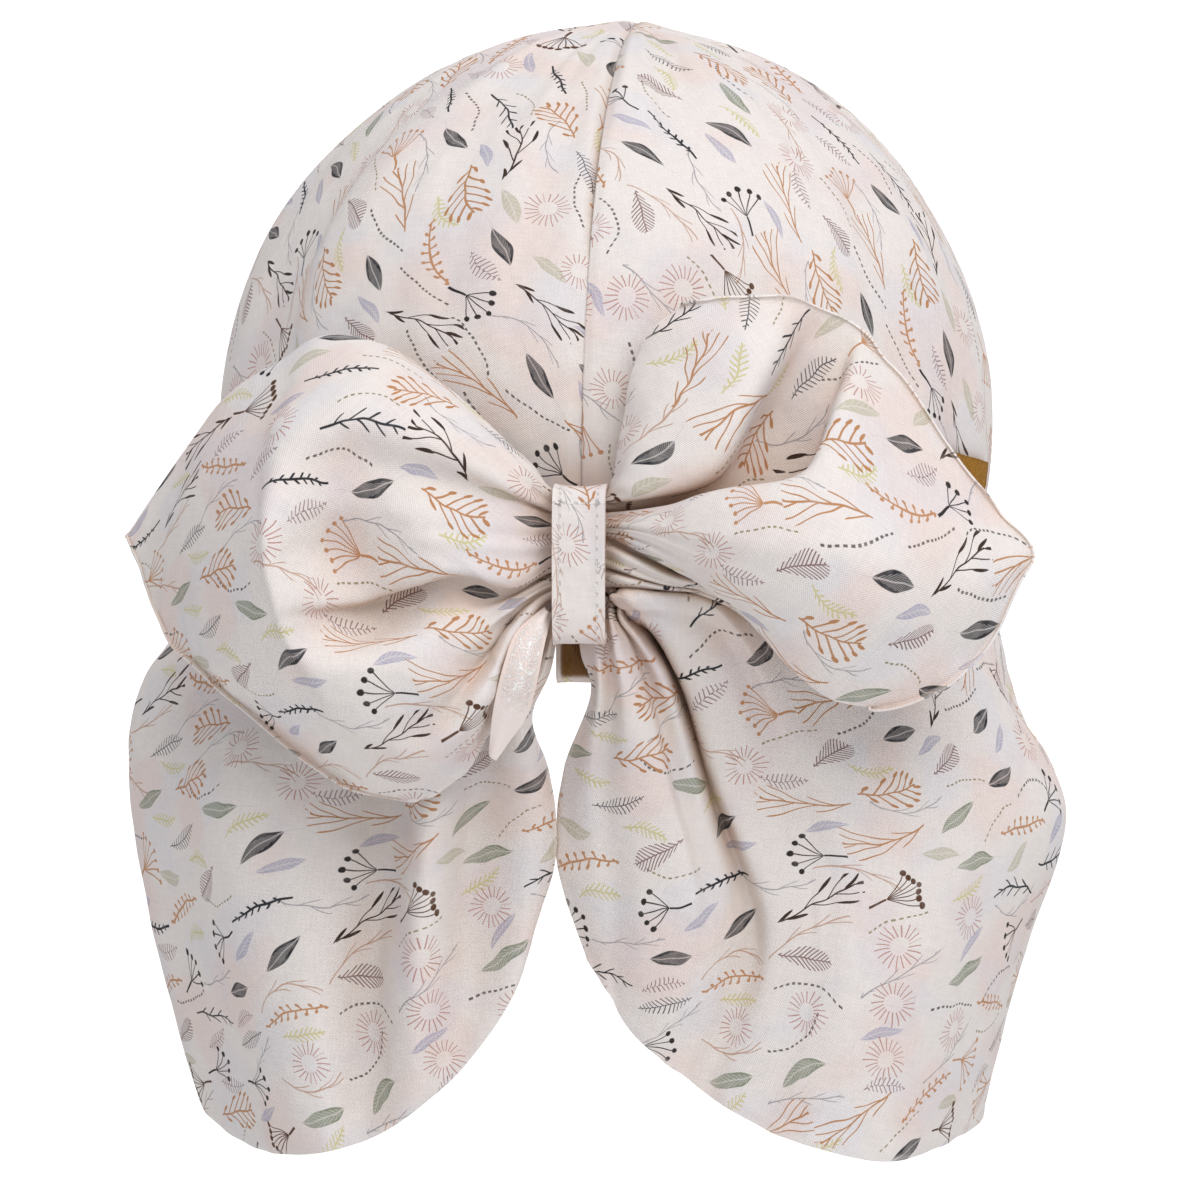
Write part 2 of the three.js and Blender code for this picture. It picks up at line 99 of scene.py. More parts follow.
# Folds of the bow wings, in the order in which they leave the loop, each from its root beside the loop to the hem.
# Bend says how soon a fold turns beyond its ridge, as a share of the way to the next column. Lip is the width of the
# hem's roll, in millimetres.
LEFT_WING_COLUMNS = ("root", "near", "middle", "inner", "ridge", "outer", "hem")
LEFT_WING = table(("fold", "bend", "lip", *LEFT_WING_COLUMNS), [
    ("back layer", 0.35, 0.5, (-5, -102, 9), (-10, -97, 16), (-26, -92, 27), (-40, -86, 33), (-52, -81, 32),
     (-72, -73, 20), (-86, -70, -1)),
    ("top edge", 0.35, 0.5, (-5, -105, 10.5), (-10, -106, 15.5), (-26, -103, 31), (-39, -99, 39.5), (-52, -94, 40.5),
     (-72.5, -83, 28), (-93, -76, 0)),
    ("upper front", 0.35, 0.5, (-5, -107, 9), (-11, -111, 14), (-26, -114, 27), (-40, -114, 34), (-53.5, -110, 32),
     (-73, -94, 20), (-92, -78, -2.5)),
    ("upper body", 0.35, 0.5, (-5, -108, 8), (-12, -114, 12), (-28, -121, 21), (-43, -123, 26), (-56, -120, 24),
     (-75, -99, 12.5), (-90, -81, -6)),
    ("shallow hollow", 0.22, 0.5, (-5, -106, 6), (-13, -112.5, 9), (-30, -119, 14), (-45.5, -121, 17.5),
     (-58, -125, 14.5), (-76, -101, 4), (-88.5, -83, -10)),
    ("middle swell", 0.13, 0.8, (-5, -108, 3.5), (-14, -115, 4.5), (-30, -123, 7), (-46, -120, 8.5), (-59, -129, 6),
     (-75.5, -104, -5), (-85.7, -88, -15.4)),
    ("above the crease", 0.12, 1.1, (-5, -108.5, -0.5), (-13.5, -116.5, -1), (-29, -123.5, 1), (-46, -115.5, 0),
     (-59, -130, -2.5), (-74, -106, -12.5), (-82.6, -91, -20.9)),
    ("crease edge", 0.12, 1, (-5, -108.5, -4), (-12.5, -116, -7), (-24, -122, -4.5), (-42, -116, -10.5),
     (-57.5, -129.5, -10), (-71, -109, -18.5), (-78.5, -93.5, -24.3)),
    ("tuck behind the edge", 0.12, 1.1, (-5, -106, -4.7), (-13, -112.5, -7.3), (-24.5, -116, -5.3),
     (-42, -112.5, -11.8), (-56.5, -127.5, -14), (-69, -110, -22), (-75.5, -95.5, -26.8)),
    ("below the crease", 0.13, 1.2, (-5, -105.5, -6), (-12.5, -110, -9), (-25, -116, -9), (-40.5, -114.5, -16),
     (-55, -126, -18.5), (-66, -110, -26), (-71.5, -97.5, -30.3)),
    ("lower swell", 0.18, 1.3, (-5, -107, -7), (-13.5, -112, -11), (-25, -122, -15), (-36.5, -125, -21.5),
     (-50.5, -125, -24.5), (-59.5, -112, -30.5), (-65.5, -99.5, -34.8)),
    ("lower body", 0.35, 1.3, (-5, -107.5, -8), (-13.5, -113.5, -13), (-24, -122, -22.5), (-32, -123, -29.5),
     (-43.5, -122, -34), (-51, -111, -38), (-56.6, -101.5, -41.8)),
    ("lower hollow", 0.35, 1.3, (-5, -105.5, -8.7), (-12.5, -109.5, -14), (-20.5, -116.5, -26), (-27, -118, -33),
     (-36, -118, -38.5), (-44.2, -110, -42.6), (-50.7, -103, -45.8)),
    ("lobe edge", 0.35, 1.2, (-5, -107, -9.3), (-11, -112.5, -14.5), (-17.5, -119, -28), (-23, -119, -36),
     (-30.5, -116, -42), (-38.2, -108.5, -46.2), (-45.3, -103.5, -48.8)),
    ("bottom edge", 0.35, 1, (-5, -103.5, -10.5), (-9.5, -106, -16), (-14.5, -108, -28.5), (-18, -107, -37),
     (-22.5, -105, -44.5), (-29, -102, -49.5), (-36, -100, -51)),
])
RIGHT_WING_COLUMNS = ("root", "near", "middle", "ridge", "outer", "hem")
RIGHT_WING = table(("fold", *RIGHT_WING_COLUMNS), [
    ("inner edge", (5, -103, 10.5), (6.5, -102, 13), (8, -99, 22), (11, -97, 37), (15, -97, 43.5), (20, -97, 47)),
    ("inner roll", (5, -105.5, 10), (9, -108, 12.5), (14.5, -106, 24), (20.5, -103, 35.5), (24, -101, 42.5),
     (28, -98, 48.5)),
    ("back ridge", (5, -106.5, 9), (14.5, -110, 10.3), (26.5, -112, 15), (32.5, -110, 27), (37, -105.5, 36.5),
     (41.5, -96, 48.5)),
    ("shaded flank", (5, -105.5, 8), (15.3, -105.5, 8.8), (28.3, -100.5, 12.2), (35.5, -95.5, 22), (41, -93.5, 32.5),
     (48, -90, 46)),
    ("hollow", (5, -104, 6.7), (15.5, -102, 6), (29.5, -97, 7), (42, -94, 10.5), (49, -93, 25), (53.5, -87, 43.5)),
    ("tuck behind the crest", (5, -104.5, 6.2), (15.5, -106.5, 6.5), (28.5, -109, 9.3), (44, -111, 13.3),
     (50, -103, 26), (56.5, -87.5, 41)),
    ("crest", (5, -106, 5.9), (15.5, -111, 7.4), (28.5, -118, 11.2), (45, -120, 14.7), (51, -108, 26),
     (59, -88, 37.5)),
    ("front of the crest", (5, -107, 5.4), (15.3, -113, 6.6), (29.5, -121.5, 9.5), (46.5, -123.5, 12.3),
     (54.5, -111, 22), (64, -88.5, 32)),
    ("front upper", (5, -107.5, 4.8), (14.8, -114, 5.7), (33, -125, 6), (53, -125.5, 7.5), (63, -108, 14.5),
     (72.8, -90, 19)),
    ("front body", (5, -107.7, 4.3), (14.5, -114.7, 4.3), (35, -127, 1.5), (57, -127.5, -0.5), (73, -109, 2.5),
     (83, -92, 6)),
    ("corner", (5, -107.5, 3.6), (14, -114.5, 2.8), (35, -125.5, -4), (58.2, -126.5, -8), (76.5, -109, -5.5),
     (89.4, -95, -1.2)),
    ("below the corner", (5, -107.3, 3.3), (13.8, -114.2, 2.2), (34.7, -124.8, -5.8), (57.6, -125, -13),
     (75, -110.5, -12), (87, -97.5, -7)),
    ("lower body", (5, -107.2, 3), (13.5, -113.7, 1.5), (34, -123, -8.5), (54.5, -122.5, -18), (69.5, -113, -19),
     (81, -102, -19)),
    ("lower round", (5, -106.8, 2.5), (13, -113, 0.3), (32.8, -120.5, -10.3), (49, -119.5, -23), (61, -114, -27),
     (71, -108, -28)),
    ("bottom fold", (5, -106.2, 2), (12.7, -111, -0.9), (31.5, -116.5, -11.4), (44, -116, -24.6), (51, -113, -29.7),
     (58, -111, -31.5)),
    ("turned under", (5, -105.3, 1.6), (12.5, -108.6, -0.9), (30, -112, -10), (42.5, -111.5, -22.5),
     (49.5, -110.5, -28), (57, -109, -30.5)),
    ("hollow under the bow", (5, -105.6, 0.9), (11, -107.8, -1.4), (19, -107.4, -5), (27, -105, -7.9),
     (33, -103.6, -11.4), (38, -103, -14.8)),
    ("first pleat", (5, -107.7, -0.4), (10, -111, -2.2), (18, -110.8, -5.7), (25.5, -107.4, -8), (32, -104.8, -11.2),
     (37, -104, -14.7)),
    ("crease in the first pleat", (5, -107.1, -2.3), (9.6, -109.9, -3.7), (17, -109.8, -6.5), (25, -106.7, -8.4),
     (31.7, -104.4, -11.5), (36.8, -103.8, -14.9)),
    ("lower half of the first pleat", (5, -107.4, -3.3), (9.5, -110.2, -4.6), (16.5, -109.8, -6.9),
     (24.5, -106.5, -8.6), (31.4, -104.2, -11.7), (36.6, -103.7, -15.1)),
    ("between the pleats", (5, -106, -4.4), (9.5, -108, -5.5), (16.3, -108, -7.4), (24.2, -105.6, -8.9),
     (31.2, -103.8, -11.9), (36.4, -103.4, -15.3)),
    ("second pleat", (5, -107.8, -5.9), (9.2, -110, -6.5), (16, -109.2, -7.9), (24, -106, -9.2), (31, -103.9, -12.2),
     (36.2, -103.4, -15.5)),
    ("lower edge of the second pleat", (5, -106.6, -7.6), (9, -108.2, -7.7), (15.8, -107.4, -8.5),
     (23.8, -104.8, -9.6), (30.8, -103, -12.5), (36, -102.7, -15.8)),
    ("inner end", (5, -104, -8), (8.8, -105, -8.2), (15.5, -104.2, -8.8), (23.5, -102.4, -9.9),
     (30.5, -101.2, -12.8), (35.5, -101, -16.2)),
])

# The narrow strip of the left flap's inner edge that has turned over below the bow.
STRIP_COLUMNS = ("root", "upper", "middle", "lower", "tip")
TURNED_EDGE = table(("fold", *STRIP_COLUMNS), [
    ("outer side", (-6.3, -107.5, -12.3), (-11.6, -114.5, -16.8), (-13.7, -117, -22.5), (-16, -115.5, -31.7),
     (-17.2, -110.5, -41)),
    ("middle", (-5.8, -110.5, -12.8), (-8.8, -115.5, -17.8), (-10.4, -117.7, -23.5), (-12.8, -115.5, -32),
     (-16.7, -111, -41.5)),
    ("inner side", (-5.4, -108, -13.1), (-6, -112.5, -18.5), (-7.2, -114, -24.5), (-9.6, -112.5, -33),
     (-16, -110.5, -42)),
])

# Folds of the neck flap, from the centre back to the ear. Turn is the place on the rim, in degrees from the centre
# back. Drawn is where the loop pulls a fold together, and neck lies between there and the shoulder; a fold with
# neither hangs straight from the rim.
FLAP_COLUMNS = ("shoulder", "waist", "low", "hem")
LEFT_FLAP = table(("fold", "turn", "drawn", "neck", *FLAP_COLUMNS), [
    ("centre edge", -4, (-3.6, -102.5, -13.5), (-5, -103.5, -23.5), (-9, -103.5, -34), (-6, -94, -47),
     (-5.5, -90, -64), (-10.5, -89, -80)),
    ("centre roll", -7, (-4.6, -105, -12.8), (-6.8, -107, -23.5), (-12, -106, -35), (-9.5, -96, -49.5),
     (-10.5, -91.5, -69.5), (-15.5, -90, -93.5)),
    ("inner flank", -13, (-6, -101, -12), (-11, -100, -23), (-18, -98, -34), (-21.5, -91.5, -53.5),
     (-23, -88.5, -80), (-25.5, -89, -107)),
    ("inner ridge", -20, (-14, -98, -10), None, (-28.5, -97, -33), (-30, -99.5, -55), (-32.5, -98, -84),
     (-33.5, -91.5, -114)),
    ("valley", -32, (-27, -93, -9.5), None, (-40, -88, -32), (-38.5, -85, -56), (-42.5, -84.5, -85),
     (-43.5, -86.5, -120.5)),
    ("middle face", -40, None, None, (-52, -84, -32), (-53, -87, -56), (-55, -90, -84), (-52.5, -88, -123)),
    ("outer ridge", -51, None, None, (-66, -76, -32), (-71.5, -82, -54), (-69, -83.5, -80), (-61.5, -79, -124.5)),
    ("side crease", -64, None, None, (-80, -56, -32), (-84, -62, -53), (-79, -65, -81), (-70, -63, -124.8)),
    ("side", -77, None, None, (-95, -30, -32), (-97.8, -36, -49), (-90.6, -38, -90), (-82, -42, -120)),
    ("ear edge", -90, None, None, (-85, 2, -30), (-88, 0, -54), (-84, -4, -86), (-74, -8, -117)),
])
RIGHT_FLAP = table(("fold", "turn", "drawn", "neck", *FLAP_COLUMNS), [
    ("centre edge", 3, (0.6, -103, -13.5), (1, -102.7, -21.5), (3, -100, -28.8), (-3.2, -91, -45), (-5, -89, -63.5),
     (1, -88, -83.5)),
    ("inner roll", 4.5, (3.8, -106, -12.8), (4, -106.5, -21), (4.2, -103.5, -29.5), (1.7, -97, -45), (2, -94, -67),
     (5, -90, -89.5)),
    ("hollow beside the roll", 6, (5.2, -104.7, -12.8), (5.7, -104.3, -21.5), (6.3, -102, -29.5), (5, -97.5, -45.5),
     (6.5, -95, -69), (7, -90, -93)),
    ("panel", 7.5, (6.3, -106.7, -12.8), (7.4, -106.8, -20), (9, -105.5, -28.5), (10.5, -101.5, -46), (13, -98, -71),
     (10, -91, -97.5)),
    ("inner ridge", 9, (7, -106, -13), (9, -104.6, -19), (12.3, -103.3, -28.5), (17, -101.5, -47.5), (22, -98, -73),
     (14.5, -92, -102)),
    ("small valley", 10.5, (7.5, -104, -13.1), (10, -101.7, -18.5), (13.6, -99.5, -28), (19, -98, -48),
     (25, -95.5, -74), (17, -91, -104.5)),
    ("thin roll", 12, (8.2, -106, -12.9), (12, -103.8, -18.8), (16.9, -100.5, -27.2), (22.6, -97, -47),
     (29, -93, -75), (20, -90, -106.5)),
    ("deep crease", 14, (8.8, -102.4, -12.7), (13.9, -94, -18), (19, -91.5, -27), (25.4, -91, -49),
     (34, -89.5, -77.5), (24, -88.5, -110)),
    ("crease edge", 16, (9.2, -104, -12.4), (15.4, -103.2, -16.6), (21, -99.3, -26.4), (28.5, -95.5, -50.5),
     (38, -93, -79), (28, -90, -112.5)),
    ("main face", 18.5, (8.9, -105, -12.1), (15.8, -105.2, -14.5), (24.5, -101, -21.5), (37, -94, -51.5),
     (45, -93.7, -82), (35, -91, -116.3)),
    ("under the top fold", 20, (8, -105.3, -11.7), (15.4, -106.2, -12.6), (27, -101.6, -15.9), (40.5, -92.5, -51.5),
     (46.5, -94, -82.2), (37, -91, -117.5)),
    ("lower edge of the top fold", 22, (7.4, -106.8, -11.2), (15.4, -108.6, -11.8), (27.5, -103.2, -14.6),
     (42.5, -92, -51.5), (48, -94.6, -82.3), (38.8, -91.2, -118.3)),
    ("top fold", 25, (6.6, -108, -9.9), (14, -109.4, -9.6), (27.5, -104.6, -12.4), (45, -92, -51.5),
     (50, -95, -82.5), (41, -91.5, -119)),
    ("behind the pleats", 29, (7.5, -105, -8.5), (15, -104.6, -8.6), (33, -98.5, -12.9), (50, -92.5, -52),
     (54, -95, -83), (46, -92, -120.5)),
    ("outer belly", 43, None, None, (63, -78, -31), (67, -85, -55), (66, -88.5, -83), (59, -87, -124)),
    ("side crease", 60, None, None, (80, -56, -31), (87, -65, -56), (80, -70, -83), (71, -70, -123)),
    ("side", 76, None, None, (85, -30, -35), (96.3, -38, -57), (89, -38, -84), (79, -42, -120.5)),
    ("ear edge", 90, None, None, (84, 2, -31), (88, 0, -57), (83, -4, -86), (74, -8, -116)),
])
DRAWN_SHARE = 0.35
NECK_SHARE = 0.65

# Strap loop: its path from the crown, over the gathered cloth, and back under it.
LOOP_WIDTH = 10.5 * MM
LOOP_SHIFT = 0.5 * MM
LOOP_PATH = table(("place", "depth", "height"), [
    ("sewn end on the crown", -94, 10.4),
    ("foot of the sewn end", -97, 10.8),
    ("over the bundle", -104.5, 11.6),
    ("upper bend", -110.8, 10.6),
    ("front", -112.4, 7),
    ("middle of the front", -113, -5),
    ("lower front", -112.6, -14.5),
    ("lower bend", -111.2, -18.4),
    ("underside", -108, -18.9),
    ("tucked in", -104, -17),
    ("behind the tuck", -101.6, -16.6),
    ("hanging part", -100.4, -21),
    ("lower edge", -100.2, -26.4),
    ("turn", -98.6, -27.2),
    ("back run", -97.4, -22),
    ("inner end", -96.2, -6),
])
LOOP_STEPS = 9
HANGING_FROM = 10  # row of the path at which the hanging part begins
STRAP_CLOTH = 0.9 * MM
STRAP_STITCH = 1.5 * MM
STRAP_CROSS_STITCH = 19.5 * MM
# Painted shade on the hanging part of the strap, below the bow. Given as its strength as a depth in millimetres,
# where its middle lies along the hanging part, and its half length.
PAINTED_HOLLOW_DEPTH = 8 * MM
PAINTED_HOLLOW_PLACE = 4.2 * MM
PAINTED_HOLLOW_HALF = 5 * MM

# Peak
PEAK_LENGTH = 44 * MM
PEAK_HALF_ANGLE = math.radians(52)
PEAK_DROOP = 15 * MM
PEAK_SIDE_DROOP = 9 * MM
PEAK_END = 0.08
PEAK_CLOTH = 2 * MM
PEAK_SPREAD = 0.55
PEAK_STITCHES = [3 * MM, 9 * MM, 15 * MM, 21 * MM, 27 * MM]

# Label
LABEL_TURNS = (57, 75)
LABEL_HEIGHTS = (8.3 * MM, 14.6 * MM)
LABEL_RISE = 4 * MM
LABEL_LENGTH = 27 * MM
LABEL_CLOTH = 0.6 * MM
LABEL_CLEAR = 1.2 * MM
LABEL_STITCH = 1.4 * MM

# The photograph's frame and camera
CAMERA_AZIMUTH = math.radians(3.4)
CAMERA_ELEVATION = math.radians(3.0)
CAMERA_DISTANCE = 1.5
CAMERA_TARGET = Vector((-3.1, -0.2, -15.1)) * MM
FRAME_WIDTH = 251.9 * MM
SENSOR = 36.0
FLOOR_HEIGHT = -0.52
STAGE_SIZE = 20.0
BACKDROP_PLACE = 2.6
BACKDROP_SIZE = 1.45
BACKDROP_HEIGHT = 0.19

# Studio light
SKY = (0.93, 0.96, 1.0, 1)
SKY_STRENGTH = 0.55
KEY_PLACE = (0.58, -1.2, 1.5)
KEY_AIM = (0, 0, -0.02)
KEY_SIZE = 1.8
KEY_POWER = 28


def smooth_runs(controls, steps):
    """Centripetal curves through controls[0], controls[1] and so on, side by side along the second axis."""
    controls = np.asarray(controls, float)
    before = 2 * controls[0] - controls[1]
    after = 2 * controls[-1] - controls[-2]
    padded = np.concatenate([before[None], controls, after[None]])
    spans = np.sqrt(np.maximum(np.linalg.norm(np.diff(padded, axis=0), axis=-1, keepdims=True), 1e-9))
    samples = []
    for k in range(len(controls) - 1):
        p0, p1, p2, p3 = padded[k:k + 4]
        d0, d1, d2 = spans[k:k + 3]
        start = ((p1 - p0) / d0 - (p2 - p0) / (d0 + d1) + (p2 - p1) / d1) * d1
        end = ((p2 - p1) / d1 - (p3 - p1) / (d1 + d2) + (p3 - p2) / d2) * d1
        for t in np.arange(steps) / steps:
            rest = (2 * p1 - 2 * p2 + start + end) * t**3 + (3 * p2 - 3 * p1 - 2 * start - end) * t**2
            samples.append(rest + start * t + p1)
    samples.append(controls[-1])
    return np.array(samples)


def folded_grid(folds, along, across):
    """Points of a cloth, [station along a fold][place across the folds], from a table of folds in millimetres."""
    runs = smooth_runs(np.swapaxes(np.asarray(folds, float), 0, 1), along)
    return np.swapaxes(smooth_runs(np.swapaxes(runs, 0, 1), across), 0, 1) * MM


def grid_normals(grid):
    along = np.gradient(grid, axis=0)
    across = np.gradient(grid, axis=1)
    normals = np.cross(along, across)
    return normals / np.maximum(np.linalg.norm(normals, axis=-1, keepdims=True), 1e-12)


def lengths(grid, axis):
    """How far each point of a grid lies from its first row or column, over the cloth."""
    steps = np.linalg.norm(np.diff(grid, axis=axis), axis=-1)
    return np.insert(np.cumsum(steps, axis=axis), 0, 0, axis=axis)


def smoothstep(value, low, high):
    t = np.clip((value - low) / (high - low), 0, 1)
    return t * t * (3 - 2 * t)


def bell(distance, width):
    return np.exp(-(distance / width) ** 2)


def ripple(*coordinates, seed=0.0):
    """Smooth noise between -1 and 1 at the places whose coordinates are given as equal grids."""
    shape = np.shape(coordinates[0])
    flat = [np.ravel(c) for c in coordinates] + [np.full(np.size(coordinates[0]), seed)] * (3 - len(coordinates))
    return np.array([noise.noise(Vector(p)) for p in zip(*flat)]).reshape(shape) * 1.6


def hem_facts(grid, hems):
    """For each point, the distance to the nearest hemmed edge and how far along that edge it lies."""
    along = lengths(grid, 0)
    across = lengths(grid, 1)
    sides = {
        "end": (along[-1:] - along, across),
        "first": (across, along),
        "last": (across[:, -1:] - across, along),
    }
    distance = np.full(grid.shape[:2], FAR)
    run = np.zeros(grid.shape[:2])
    for side in hems:
        off, place = sides[side]
        nearer = off < distance
        distance = np.where(nearer, off, distance)
        run = np.where(nearer, place, run)
    return distance, run


def sew(name, grid, facts, outward, thickness, offset=0.0, two_sided=True, grain=0):
    """Makes a cloth piece from a grid of points. Facts are values that its material reads at each point, and grain is
    the turn of its print in degrees."""
    nowhere = np.full(grid.shape[:2], FAR)
    # The 'deep' fact sets painted shade in the material; it is zero unless a piece gives it.
    facts = {"seam": nowhere, "stitch": nowhere, "deep": nowhere * 0} | facts
    rows, columns = grid.shape[:2]
    bm = bmesh.new()
    bmesh.ops.create_grid(bm, x_segments=columns - 1, y_segments=rows - 1, size=1.0)
    layers = {key: bm.verts.layers.float.new(key) for key in facts}
    for v in bm.verts:
        i = round((v.co.x + 1) / 2 * (columns - 1))
        j = round((v.co.y + 1) / 2 * (rows - 1))
        v.co = Vector(grid[j, i])
        for key, layer in layers.items():
            v[layer] = facts[key][j, i]
    bmesh.ops.remove_doubles(bm, verts=bm.verts, dist=1e-6)
    bm.normal_update()
    facing = sum((f.normal * f.calc_area() for f in bm.faces), Vector())
    if facing.dot(Vector(outward)) < 0:
        bmesh.ops.reverse_faces(bm, faces=bm.faces)
    for face in bm.faces:
        face.smooth = True
    mesh = bpy.data.meshes.new(name)
    bm.to_mesh(mesh)
    bm.free()
    piece = bpy.data.objects.new(name, mesh)
    bpy.context.scene.collection.objects.link(piece)
    lay_flat(piece, math.radians(grain))
    wall = piece.modifiers.new("Thickness", "SOLIDIFY")
    wall.thickness = thickness
    wall.offset = offset
    wall.use_even_offset = False
    wall.material_offset = 1 if two_sided else 0
    rim = piece.modifiers.new("Rounded edge", "BEVEL")
    rim.width = thickness * 0.4
    rim.segments = 2
    rim.limit_method = "ANGLE"
    rim.angle_limit = math.radians(60)
    return piece


def lay_flat(piece, grain):
    """Gives the cloth a UV map of its flat shape, in metres, turned by the grain."""
    bpy.context.view_layer.objects.active = piece
    piece.select_set(True)
    bpy.ops.object.mode_set(mode="EDIT")
    bpy.ops.mesh.select_all(action="SELECT")
    bpy.ops.uv.unwrap(method="MINIMUM_STRETCH", margin=0, iterations=UNWRAP_ROUNDS)
    bpy.ops.object.mode_set(mode="OBJECT")
    piece.select_set(False)
    mesh = piece.data
    flat = mesh.uv_layers.active
    flat.name = "flat"
    uv = np.zeros(len(mesh.loops) * 2)
    flat.data.foreach_get("uv", uv)
    vertices = np.zeros(len(mesh.loops), int)
    mesh.loops.foreach_get("vertex_index", vertices)
    places = np.array([v.co for v in mesh.vertices])[vertices]
    upright = (places[:, 0] - places[:, 0].mean()) + 1j * (places[:, 2] - places[:, 2].mean())
    now = uv[0::2] + 1j * uv[1::2]
    now = (now - now.mean()) * math.sqrt(sum(p.area for p in mesh.polygons) / flat_area(mesh, now))
    turned = now * np.exp(1j * (np.angle(np.sum(upright * np.conj(now))) + grain))
    flat.data.foreach_set("uv", np.stack([turned.real, turned.imag], axis=-1).ravel())


def flat_area(mesh, corners):
    """The area of a mesh laid flat, from the places of its face corners as complex numbers."""
    starts = np.array([p.loop_start for p in mesh.polygons])
    after = np.arange(len(corners)) + 1
    after[np.append(starts[1:], len(corners)) - 1] = starts
    return np.abs(np.add.reduceat((np.conj(corners) * corners[after]).imag, starts)).sum() / 2


def finish_piece(piece, node, materials):
    """Adds the materials, attaches the piece to the root body and hides its part from model.glb."""
    for material in materials:
        piece.data.materials.append(material)
    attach(piece, "root")
    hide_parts(node)


def crown_surface(fall, turn):
    """Points and normals of the smooth crown. Fall is the angle from the top, turn the angle from the centre back."""
    lean = CROWN_LEAN * (1 - fall / RIM_FALL)
    side = np.sin(fall) * np.sin(turn)
    up = np.cos(fall)
    unit = np.stack([
        side * np.cos(lean) + up * np.sin(lean),
        -np.sin(fall) * np.cos(turn),
        up * np.cos(lean) - side * np.sin(lean),
    ], axis=-1)
    points = unit * CROWN_HALF + np.array([0, 0, CROWN_WIDEST])
    normals = unit / CROWN_HALF
    return points, normals / np.linalg.norm(normals, axis=-1, keepdims=True)


def crown_relief(fall, turn, height):
    """How far the cloth of the crown stands out: soft folds, seams, gathers at the rim and the point at the top."""
    away = 1 - bell(fall, 3 * CROWN_POINT_WIDTH)
    relief = CROWN_POINT * bell(fall, CROWN_POINT_WIDTH)
    for fold in CROWN_FOLDS:
        aside = (turn - math.radians(fold["turn"]) + math.pi) % (2 * math.pi) - math.pi
        level = (2 * height / MM - fold["low"] - fold["high"]) / (fold["high"] - fold["low"])
        relief += fold["rise"] * MM * bell(aside, math.radians(fold["width"])) * np.exp(-level**4) * away
    girth = CROWN_HALF[:2].mean()
    for wave in CROWN_WAVES:
        relief += wave["depth"] * away * ripple(turn * girth / wave["round"], height / wave["up"], seed=wave["seed"])
    gather = np.exp(-np.maximum(height, 0) / GATHER_HEIGHT) * GATHER_DEPTH
    relief += gather * ripple(turn * girth / 0.0052, height / 0.03, seed=1.3)
    return relief


def crown_gore(name, from_turn):
    """A quarter of the crown, with its columns drawn together near the seams."""
    share = (1 - np.cos(np.linspace(0, math.pi, CROWN_COLUMNS))) / 2
    falls = np.linspace(0, RIM_FALL, CROWN_ROWS)
    turn, fall = np.meshgrid(math.radians(from_turn) + share * math.pi / 2, falls)
    points, normals = crown_surface(fall, turn)
    points = points + normals * crown_relief(fall, turn, points[..., 2])[..., None]
    off_seam = np.arcsin(np.abs(np.sin(2 * turn))) / 2 * np.sin(fall) * CROWN_HALF[:2].mean()
    run = fall * CROWN_HALF[1]
    pucker = SEAM_PUCKER * np.exp(-off_seam / 0.005) * (fall > 0.1)
    seam = pucker * ripple(run / 0.0035, off_seam / 0.02, seed=from_turn) - SEAM_DEPTH * bell(off_seam, SEAM_WIDTH)
    points = points + normals * seam[..., None]
    to_rim = (RIM_FALL - fall) * CROWN_HALF[2]
    middle = math.radians(from_turn + 45)
    outward = (math.sin(middle), -math.cos(middle), 0.4)
    facts = {"hem": to_rim, "seam": off_seam, "run": run}
    return sew(name, points, facts, outward, CROWN_CLOTH, offset=-1)


def rim_point(turn):
    """A place on the rim in the middle of the crown's cloth, just below its edge, in millimetres."""
    half = CROWN_HALF[:2] / MM * math.sin(RIM_FALL) - CROWN_CLOTH / MM / 2
    return np.array([half[0] * math.sin(math.radians(turn)), -half[1] * math.cos(math.radians(turn)), -0.3])


def soften(grid, roots, pleats, crumple, seed, hems, calm=0.012):
    """Adds what a table of folds leaves out: pleats at the gather, crumples and the thickness of the hem."""
    normals = grid_normals(grid)
    along = lengths(grid, 0)
    across = lengths(grid, 1)
    count = grid.shape[1] - 1
    place = np.linspace(0, 1, count + 1)[None, :] * np.ones(along.shape)
    wander = ripple(place * 9, along / 0.05, seed=seed + 5)
    fan = np.sin(2 * math.pi * (place * pleats["number"] + 0.35 * wander))
    fan += 0.5 * np.sin(2 * math.pi * (place * pleats["number"] * 1.7 + 0.3 * wander) + 1.1)
    depth = pleats["depth"] * MM * np.exp(-(along / pleats["reach"]) ** 1.3) * smoothstep(along, 0, roots)
    relief = depth * fan * (1 - smoothstep(place, pleats["until"] - 0.05, pleats["until"]))
    crumple = crumple * smoothstep(along, 0.3 * calm, calm)
    relief += crumple * ripple(across / 0.016, along / 0.03, seed=seed)
    relief += 0.35 * crumple * ripple(across / 0.006, along / 0.011, seed=seed + 2)
    distance, run = hem_facts(grid, hems)
    open_cloth = smoothstep(along, 0.012, 0.024)
    relief += HEM_ROLL * bell(distance, HEM_WIDTH) * open_cloth
    relief += HEM_PUCKER * bell(distance, 0.009) * ripple(run / 0.006, distance / 0.02, seed=seed + 9) * open_cloth
    distance = np.where(open_cloth > 0.5, distance, FAR)
    return grid + normals * relief[..., None], {"hem": distance, "run": run}


